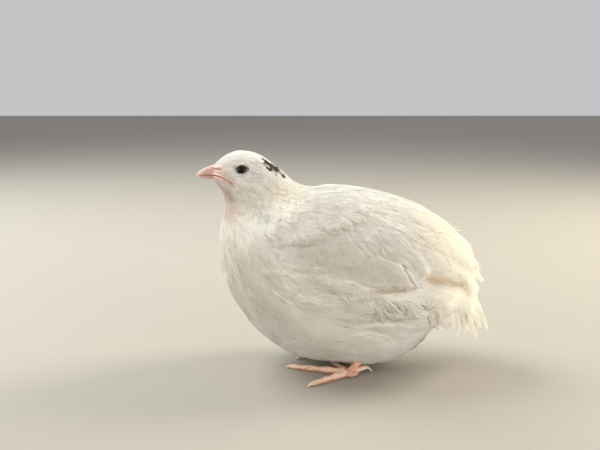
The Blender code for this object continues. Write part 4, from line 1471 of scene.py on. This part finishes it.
legs = {
    "left": {"pad": (3.05, -24.0), "turn": 0.0, "side": -1},
    "right": {"pad": (7.05, 21.5), "turn": 8.0, "side": 1},
}
legShape = {
    "padRadius": 5.1,
    "padThick": 4.4,
    "sole": 0.35,
    "heel": (19.0, 6.0, 20.0),
    "shankAt": (0.0, 0.2, 0.45, 0.7, 0.85, 0.95, 1.0),
    "shankRadius": (2.3, 1.9, 1.85, 2.1, 2.9, 2.6, 1.4),
    "toeFrom": 0.55,  # the share of the pad's radius where a toe starts
    "scute": 1.2,  # the length of one scale along a toe
    "scuteStep": 0.17,
    "claw": 5.0,
    "clawTip": 0.16,
}
# Each toe: its turn towards the midline, its length from the pad's middle, its radius at the root and how
# high its end is.
toes = {
    "inner": (66.0, 20.0, 1.85, 0.0),
    "middle": (19.5, 34.0, 2.1, 0.0),
    "outer": (-38.0, 26.0, 2.05, 0.0),
    "hind": (158.0, 9.5, 1.6, 2.6),
}


def ringsAlong(path, radii, sides, relief=None, floorLevel=None):
    # rings of points round a path; relief is how far each point stands out, by ring and turn
    ahead = unit(np.gradient(path, axis=0))
    across = unit(np.cross(ahead, [0.0, 0.0, 1.0]))
    upward = np.cross(across, ahead)
    angle = np.linspace(0, 2 * math.pi, sides + 1)
    out = radii[:, None] + (0.0 if relief is None else relief(angle[None, :]))
    points = path[:, None] + across[:, None] * (np.cos(angle) * out)[..., None]
    points = points + upward[:, None] * (np.sin(angle) * out)[..., None]
    points[:, -1] = points[:, 0]
    if floorLevel is not None:
        points[..., 2] = np.maximum(points[..., 2], floorLevel)
    first, last = points[:1].mean(1, keepdims=True), points[-1:].mean(1, keepdims=True)
    caps = [np.repeat(first, sides + 1, 1), first + (points[:1] - first) * 0.6, points,
            last + (points[-1:] - last) * 0.6, np.repeat(last, sides + 1, 1)]
    return np.concatenate(caps)


def scalePhase(distance, seed):
    # how far along its own scale a place is, from 0 to 1
    return (distance / legShape["scute"] + 0.13 * np.sin(seed + distance)) % 1.0


def shankWay(leg):
    # from the pad's middle to the heel
    back, inward, rise = legShape["heel"]
    return np.array([back, -leg["side"] * inward, rise])


def toeHeading(leg, angle):
    # the way over the ground that a toe points
    turn = math.radians(angle + leg["turn"])
    return np.array([-math.cos(turn), -leg["side"] * math.sin(turn)])


def scaleRelief(distance, seed, step):
    # rows of overlapping scales on the upper side, round pads below
    phase = scalePhase(distance, seed)

    def relief(angle):
        top = smoothStep(np.sin(angle), -0.15, 0.35)
        edge = np.minimum(phase[:, None] / 0.22, 1.0) * (1 - 0.45 * phase[:, None])
        pads = 0.14 * np.sin(distance * 1.15 + seed)[:, None] * smoothStep(-np.sin(angle), 0.1, 0.7)
        side = 0.10 * np.sin(distance * 5.2)[:, None] * np.exp(-((np.sin(angle) + 0.1) / 0.3) ** 2)
        return step * edge * top + pads + side

    return relief


def toeLine(start, heading, length, radius, lift, count):
    t = np.linspace(0, 1, count)
    thick = radius * (1 - 0.3 * t) * (1 + 0.06 * np.cos(t * 6 * math.pi))
    height = thick - legShape["sole"] + lift * np.sin(t * math.pi / 2)
    flat = np.array(start)[None] + np.array(heading)[None] * (length * t)[:, None]
    return np.column_stack([flat, height]), thick, t


def uniteWith(base, others):
    # one closed piece of several that overlap
    for other in others:
        bpy.ops.object.select_all(action="DESELECT")
        bpy.context.view_layer.objects.active = base
        base.select_set(True)
        union = base.modifiers.new("union", "BOOLEAN")
        union.operation = "UNION"
        union.object = other
        union.solver = "EXACT"
        bpy.ops.object.modifier_apply(modifier=union.name)
        bpy.data.objects.remove(other)
    bpy.ops.object.select_all(action="DESELECT")


claws = []  # each claw and the node that it replaces


def buildLeg(name):
    leg = legs[name]
    middle = np.array([*leg["pad"], legShape["padThick"] / 2 - legShape["sole"]])
    lat = np.linspace(math.pi / 2, -math.pi / 2, 22)[:, None]
    around = np.linspace(0, 2 * math.pi, 41)[None, :]
    flat = legShape["padRadius"] * np.cos(lat)
    pad = np.stack([flat * np.cos(around), flat * np.sin(around),
                    legShape["padThick"] / 2 * np.sin(lat) + 0 * around], -1)
    pad = middle + pad * (1 + 0.02 * softNoise(pad, 1.2, 41))[..., None]
    pad[..., 2] = np.maximum(pad[..., 2], 0.02)
    pad[:, -1], pad[0], pad[-1] = pad[:, 0], pad[0].mean(0), pad[-1].mean(0)
    foot = wrapGrid(f"foot_{name}", pad)
    t = np.linspace(0, 1, 90)
    way = shankWay(leg)
    radii = np.interp(t, legShape["shankAt"], legShape["shankRadius"])
    relief = scaleRelief(np.linalg.norm(way) * t, 1.0, 0.2)
    parts = [wrapGrid("shank", ringsAlong(middle + way * t[:, None], radii, 20, relief))]
    begin = legShape["toeFrom"] * legShape["padRadius"]
    for toe, (angle, length, radius, lift) in toes.items():
        heading = toeHeading(leg, angle)
        start = np.array(leg["pad"]) + heading * begin
        count = max(int((length - begin) / 0.26), 20)
        path, thick, t = toeLine(start, heading, length - begin, radius, lift, count)
        relief = scaleRelief((length - begin) * t, angle, legShape["scuteStep"])
        parts.append(wrapGrid(f"toe_{toe}", ringsAlong(path, thick, 18, relief, 0.0)))
        clawT = np.linspace(0, 1, 16)
        root = path[-1] - np.array([*heading, 0.0]) * 0.5
        onward = heading[None] * ((legShape["claw"] + 0.5) * clawT)[:, None]
        drop = root[2] * (1 - clawT ** 2) + legShape["clawTip"] * clawT ** 2
        arch = 0.35 * np.sin(math.pi * clawT)
        clawPath = np.column_stack([root[:2] + onward, drop + arch])
        clawRadii = 0.80 * thick[-1] * (1 - clawT) ** 0.75 + legShape["clawTip"] * 0.8
        claw = wrapGrid(f"claw_{name}_{toe}", ringsAlong(clawPath, clawRadii, 14, None, 0.0))
        claws.append((claw, f"claw_{name}_{toe}"))
    uniteWith(foot, parts)
    return foot


feet = [buildLeg(name) for name in legs]
for foot in feet:
    print(foot.name, len(foot.data.polygons), "faces")
uniteWith(skin, feet)
print("skin with legs:", len(skin.data.polygons), "faces")

bareLook = {
    "bare": ((0.60, 0.41, 0.375), (0.70, 0.52, 0.48)),  # the darker and the lighter colour
    "leg": ((0.44, 0.20, 0.135), (0.58, 0.33, 0.25)),
    "paleScale": (0.84, 0.66, 0.56),
    # the lids' own greyish skin, darkened further as painted shade
    "lid": (0.20, 0.17, 0.15),
    # painted shade in the grooves of the gape and the nostril's slit
    "groove": (0.34, 0.13, 0.10),
}
skinMaterial, wire, shader = newMaterial("skin", skinFixed)
bareTone = wire.noise(420.0, 3.0).between(0.3, 0.7).blend(*bareLook["bare"])
legTone = wire.noise(260.0, 4.0).between(0.3, 0.7).blend(*bareLook["leg"])
palerTop = wire.noise(500.0, 2.0).between(0.35, 0.65)
legTone = (palerTop * 0.3 + wire.attribute("scute") * 0.65).blend(legTone, bareLook["paleScale"])
colour = plumageColour(wire)
colour = wire.attribute("bare").blend(colour, bareTone)
colour = wire.attribute("lid").blend(colour, bareLook["lid"])
colour = wire.attribute("leg").blend(colour, legTone)
colour = (wire.attribute("groove") * 0.8).blend(colour, bareLook["groove"])
pores = wire.noise(1500.0, 3.0).bump(0.00012)
connect(shader, Base_Color=colour, Roughness=0.42 + 0.2 * wire.noise(700.0), Normal=pores)
wear(skin, skinMaterial)


def paintSkin(points):
    # where the skin is bare: the lids, the mouth, the nostrils, and the legs with their scales; the lids and
    # the grooves of the mouth and nostrils carry painted shade
    x, y, z = points.T
    onFace = x < -61.0
    slitLine = skinShape["slit"][0]
    groove = np.maximum(nearLine(x, z, gapeLine, 0.15, 0.5), nearLine(x, z, slitLine, 0.1, 0.4))
    flap = nearLine(x, z, [(-77.0, 116.0), (-70.5, 116.8)], 1.9, 3.2)
    nearEye = (np.abs(y) > 7.0) & (z > 105)
    # the lids are painted dark: their own skin and painted shade
    paint(skin, "lid", nearEye * smoothStep(eyeShare(points), 1.6, 1.25))
    paint(skin, "bare", np.maximum(nearLine(x, z, gapeLine, 1.2, 2.4), flap) * onFace)
    # painted shade in the grooves
    paint(skin, "groove", groove * onFace)
    onLeg = z < 6.4
    scute = np.zeros(len(points))
    for leg in legs.values():
        middle, way = np.array([*leg["pad"], 2.0]), shankWay(leg)
        t = np.clip((points - middle) @ way / (way @ way), 0, 1)
        away = np.linalg.norm(points - middle - t[:, None] * way, axis=1)
        onLeg = onLeg | (away < 3.9) & (z < 26.0)
        for angle, length, radius, _ in toes.values():
            heading = toeHeading(leg, angle)
            fromPad = points[:, :2] - leg["pad"]
            along = fromPad @ heading - legShape["toeFrom"] * legShape["padRadius"]
            aside = np.abs(fromPad @ [-heading[1], heading[0]])
            phase = scalePhase(along, angle)
            onToe = (along > 0) & (along < length) & (aside < radius * 1.2) & (z > 1.4) & (z < 8.0)
            scute = np.maximum(scute, onToe * smoothStep(phase, 0.1, 0.4) * smoothStep(phase, 1.0, 0.8))
    paint(skin, "scute", scute)
    paint(skin, "leg", onLeg)


paintZones(skin, meshPoints(skin))
paintSkin(meshPoints(skin))
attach(skin, "root")
fleshNodes = ["head", "neck", "trunk", "tail", "wing_left", "wing_right"]
for name in legs:
    fleshNodes.append(f"shank_{name}")
    fleshNodes += [f"toe_{name}_{toe}" for toe in toes]
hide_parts(*fleshNodes)

clawMaterial, wire, shader = newMaterial("horn of the claws", {
    "Roughness": 0.35,
    "Subsurface Weight": 0.25,
    "Subsurface Scale": 0.001,
    "Subsurface Radius": (1.0, 0.6, 0.45),
})
grain = wire.noise(1100.0, 3.0)
colour = grain.between(0.3, 0.7).blend((0.55, 0.41, 0.34), (0.72, 0.60, 0.52))
connect(shader, Base_Color=colour, Roughness=0.3 + 0.15 * grain)
for claw, node in claws:
    wear(claw, clawMaterial)
    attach(claw, "root")
    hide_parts(node)
print("claws:", len(claws))

# Bill.

# Each half: along x, its top, its bottom and its half width.
bill = {
    "upper": {
        "x": (-84.9, -84.75, -84.3, -83.6, -82.6, -80.05, -76.95, -74.5, -72.4, -71.6),
        "top": (110.75, 111.5, 112.5, 113.5, 114.4, 115.9, 117.2, 118.0, 118.3, 117.0),
        "bottom": (110.65, 110.6, 110.75, 111.2, 111.75, 112.4, 112.2, 111.9, 111.7, 113.0),
        "half": (0.0, 0.45, 0.85, 1.3, 1.75, 2.6, 3.3, 3.75, 3.8, 1.5),
    },
    "lower": {
        "x": (-82.9, -82.7, -82.2, -81.2, -79.5, -77.5, -75.5, -73.0, -72.0),
        "top": (111.3, 111.5, 111.75, 112.0, 112.15, 112.1, 111.9, 111.6, 111.0),
        "bottom": (111.2, 110.95, 110.65, 110.4, 110.15, 109.9, 109.5, 109.0, 109.8),
        "half": (0.0, 0.6, 1.1, 1.6, 2.35, 2.9, 3.3, 3.55, 1.6),
    },
}


def buildBill(half):
    shape = bill[half]
    x = np.linspace(0, 1, 56)
    tip, end = shape["x"][0], shape["x"][-1]
    x = tip + (end - tip) * x ** 1.5
    top, bottom, wide = (np.interp(x, shape["x"], shape[key])[:, None] for key in ("top", "bottom", "half"))
    angle = np.linspace(0, 2 * math.pi, 49)[None, :]
    sideways, upright = np.cos(angle), np.abs(np.sin(angle))
    archY = np.sign(sideways) * np.abs(sideways) ** 0.85
    high = top - bottom
    if half == "upper":
        above, below = bottom + high * upright ** 0.9, bottom + 0.35 * wide / 3.7 * upright
    else:
        above, below = top - 0.25 * upright, top - high * upright ** 0.75
    z = np.where(np.sin(angle) > 0, above, below)
    points = np.stack([x[:, None] + 0 * angle, wide * archY, z], -1)
    points[:, -1] = points[:, 0]
    for smoothing in range(2):
        points[1:-1] = (points[:-2] + 2 * points[1:-1] + points[2:]) / 4
    points[0], points[-1] = points[0].mean(0), points[-1].mean(0)
    return wrapGrid(f"bill_{half}_horn", points)


billMaterial, wire, shader = newMaterial("horn of the bill", {
    "Roughness": 0.35,
    "Specular IOR Level": 0.45,
    "Subsurface Weight": 0.3,
    "Subsurface Scale": 0.0014,
    "Subsurface Radius": (1.0, 0.7, 0.6),
})
stretched = wire.add("ShaderNodeMapping", {}, {"Vector": wire.place(), "Scale": (0.25, 1.0, 1.0)})
grain = wire.noise(900.0, 3.0, stretched)
towardsTip = wire.axis(0).between(-0.0745, -0.0835)
colour = towardsTip.blend((0.45, 0.275, 0.25), (0.58, 0.42, 0.36))
colour = wire.axis(0).between(-0.0785, -0.0750).blend(colour, (0.55, 0.37, 0.34))
colour = (grain.between(0.4, 0.75) * 0.3).blend(colour, (0.50, 0.30, 0.27))
connect(shader, Base_Color=colour, Roughness=0.42 + 0.2 * grain, Normal=grain.bump(0.00008))
for half in bill:
    made = buildBill(half)
    wear(made, billMaterial)
    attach(made, "root")
    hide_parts(f"bill_{half}")

# Eyes.

eyeMaterial, wire, shader = newMaterial("dark eye", {"Roughness": 0.22, "Specular IOR Level": 0.22})
across, up = wire.axis(0) - eye["x"] * mm, wire.axis(2) - eye["z"] * mm
fromAxis = wire.add("ShaderNodeMath", {"operation": "SQRT"}, {0: across * across + up * up})
iris = fromAxis.between(0.0016, 0.0020) * (1.0 - fromAxis.between(0.0028, 0.0032))
rays = wire.noise(2600.0, 2.0)
colour = (iris * (0.5 + rays)).blend((0.004, 0.004, 0.0035), (0.013, 0.010, 0.008))
connect(shader, Base_Color=colour)
for name, side in sides.items():
    turn = np.linspace(0, 2 * math.pi, 49)[None, :]
    lean = np.linspace(0, math.pi, 40)[:, None]
    reach = eye["radius"] + 0.22 * (1 - smoothStep(lean, 0.35, 0.85))
    ball = np.stack([reach * np.sin(lean) * np.cos(turn), side * reach * np.cos(lean) + 0 * turn,
                     reach * np.sin(lean) * np.sin(turn)], -1)
    ball += np.array([eye["x"], side * eye["y"], eye["z"]])
    ball[0], ball[-1] = ball[0].mean(0), ball[-1].mean(0)
    made = wrapGrid(f"eyeball_{name}", ball)
    wear(made, eyeMaterial)
    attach(made, "root")
    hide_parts(f"eye_{name}")
print("bill and eyes ready")

# Build coat objects.

for name, pieces in coatPieces.items():
    finishCoat(f"coat_{name}", pieces)

# Stage.

camera = bpy.data.objects.new("camera", bpy.data.cameras.new("camera"))
camera.data.lens = 51.72
camera.data.sensor_width = 36.0
camera.data.clip_start = 0.01
camera.location = (-0.02514, -0.4924, 0.1696)
camera.rotation_euler = (math.radians(80), 0, 0)
bpy.context.scene.collection.objects.link(camera)
bpy.context.scene.camera = camera


def addLight(name, kind, location, target, power, colour, **settings):
    light = bpy.data.lights.new(name, kind)
    light.energy = power
    light.color = colour
    for key, value in settings.items():
        setattr(light, key, value)
    made = bpy.data.objects.new(name, light)
    made.location = location
    made.rotation_euler = (Vector(target) - Vector(location)).to_track_quat("-Z", "Y").to_euler()
    bpy.context.scene.collection.objects.link(made)


# Round lamps aimed at the middle of the bird: place, size, power and colour.
middleOfBird = (0, 0, 0.06)
lamps = {
    "sky light": ((-0.7, 0.38, 0.84), 0.9, 17.4, (0.97, 1.0, 0.95)),
    "warm back light": ((0.75, 0.40, 0.60), 0.5, 11.4, (1.0, 0.92, 0.70)),
    "low warm light": ((0.80, -0.70, 0.20), 0.5, 5.6, (1.0, 0.87, 0.65)),
    "front fill": ((-1.0, -0.70, 0.25), 0.9, 7.0, (1.0, 0.85, 0.62)),
}
for name, (location, size, power, colour) in lamps.items():
    addLight(name, "AREA", location, middleOfBird, power, colour, shape="DISK", size=size)
addLight("light on the tail", "SPOT", (0.50, -0.50, 0.16), (0.081, -0.01, 0.018), 46.0, (0.95, 0.96, 1.0),
         spot_size=math.radians(6.2), spot_blend=1.0, shadow_soft_size=0.06)

world = bpy.data.worlds.new("studio")
world.use_nodes = True
background = world.node_tree.nodes["Background"]
background.inputs["Color"].default_value = (0.87, 0.87, 0.90, 1)
background.inputs["Strength"].default_value = 0.63
bpy.context.scene.world = world
bpy.context.scene.view_settings.view_transform = "Standard"

bpy.ops.mesh.primitive_plane_add(size=6.0, location=(0, 0, 0))
floor = bpy.context.object
floor.name = "floor"
wear(floor, newMaterial("pale floor", {"Roughness": 0.8, "Base Color": (0.32, 0.30, 0.27, 1)})[0])
